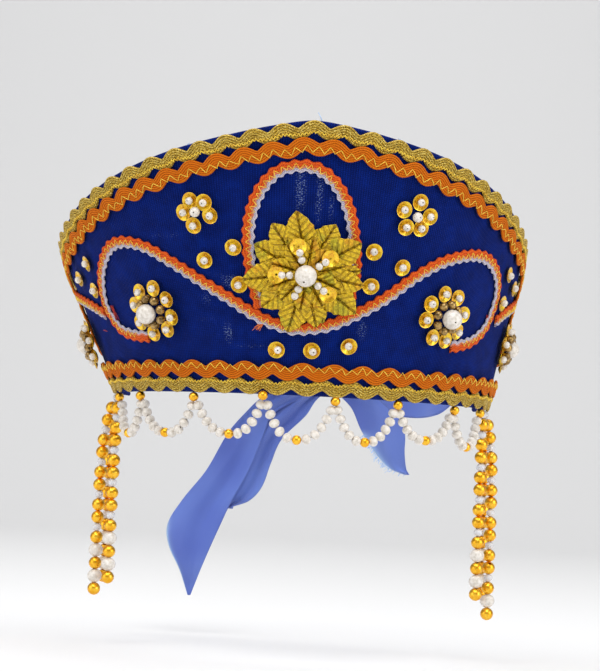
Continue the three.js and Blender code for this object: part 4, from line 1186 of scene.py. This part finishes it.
def tail_grid(row, rows, columns, folds):
    """A hanging end: its two edges and depth follow a table by height, and folds are added to its depth."""
    z = np.linspace(row["z"][0], row["z"][-1], rows)
    down = -np.array(row["z"], float)
    left, right, y = (
        smooth_table(down, np.array(row[key], float), -z)[:, None] for key in ("left", "right", "y")
    )
    share, across = shares(rows, columns)
    x = left + (right - left) * across
    return np.stack([x, y + folds(across, share), z[:, None] + 0 * x], -1)


# The long end is cut to a point, the bow loop is folded over at its foot, and the short end is cut slanting.
def long_folds(across, share):
    """A soft lengthwise fold that opens downwards, and gathers under the knot."""
    open_out = ease(0.0, 0.5, share)
    return 0.6 + 2.2 * open_out * np.exp(-(((across - 0.62) / 0.2) ** 2)) * (1 - ease(0.75, 1, share)) \
        + 0.9 * (1 - open_out) * np.sin(9 * across)


def loop_folds(across, share):
    """Deeper waves across the bow loop, weaker at its foot."""
    return 1.4 * np.sin(10.5 * across + 1.5 * share) * (1 - 0.4 * share)


def short_folds(across, share):
    """Shallow waves across the short end, stronger at the knot."""
    return 0.6 + (1.1 - 0.6 * share) * np.sin(7 * across + 2 * share)


grid = tail_grid(TAILS["ribbon_tail_long"], 120, 30, long_folds)
share, across = shares(120, 30)
cut = np.exp(-across * 30) * ease(0.62, 0.7, share)
ribbon("ribbon_tail_long_satin", grid, ["ribbon_tail_long"],
       cut)

front = tail_grid(TAILS["ribbon_bow_loop"], 70, 34, loop_folds)
back = front + np.array([0, 2.0, 0])
turn_under = np.radians(np.linspace(0, 180, 9))[1:-1, None, None]
fold = front[-1:] + np.concatenate([0 * turn_under, 1 - np.cos(turn_under), -np.sin(turn_under)], -1)
grid = np.concatenate([front, fold, back[::-1]])
ribbon("ribbon_bow_loop_satin", grid, ["ribbon_bow_loop"])

grid = tail_grid(TAILS["ribbon_tail_short"], 60, 28, short_folds)
share, across = shares(60, 28)
cut = np.exp(-across * 9) * ease(0.45, 0.6, share)
ribbon("ribbon_tail_short_satin", grid, ["ribbon_tail_short"],
       cut)


# Loose fibres: pale blue ones along the short end's slanting cut, and a few that stick out of the jersey's
# edge. They are single threads that came loose from the cloth.
FRAY_RADIUS, CREST_FIBRE_RADIUS = 0.11, 0.28
pale_fibre = mottled("pale_blue_fibre", {"Roughness": 0.6, "Sheen Weight": 0.3}, [900.0],
                     (150, 190, 240), (206, 226, 250), None)
draw = np.random.default_rng(21)
cut_edge = grid[32:, 0]
fibres = []
for k in np.linspace(0, len(cut_edge) - 1, 90):
    root = cut_edge[int(k)] + draw.normal(0, 0.15, 3)
    t = np.linspace(0, 1, 6)[:, None]
    reach = draw.uniform(0.8, 2.6)
    points = root + reach * t * [-0.55 + draw.normal(0, 0.25), draw.normal(0, 0.15), -0.8] \
        + t**2 * draw.normal(0, 0.4, 3)
    fibres.append(thread(points, FRAY_RADIUS, np.array([0.2, 1, 0.1]), 4))
piece("ribbon_tail_short_fray", joined(fibres), pale_fibre)

CREST_FIBRES = ({"turn": 1.6, "lean": -1.8, "rise": 3.2}, {"turn": 20, "lean": -4, "rise": 1.2},
                {"turn": -26, "lean": 2, "rise": 1.0}, {"turn": 31, "lean": -3, "rise": 0.9})
fibres = []
for row in CREST_FIBRES:
    t = np.linspace(0, 1, 10)
    turn = row["turn"] + np.degrees(row["lean"] * t**1.5 / radius_at(row["turn"], 100))
    height = crest_at(row["turn"]) - 1 + (row["rise"] + 1) * t
    radius = CREST_FIBRE_RADIUS - 0.12 * t
    fibres.append(thread(on_band(turn, height, -WALL / 2), radius, np.array([0.2, 1, 0.1]), 5))
piece("crown_loose_fibres", joined(fibres), pale_fibre)
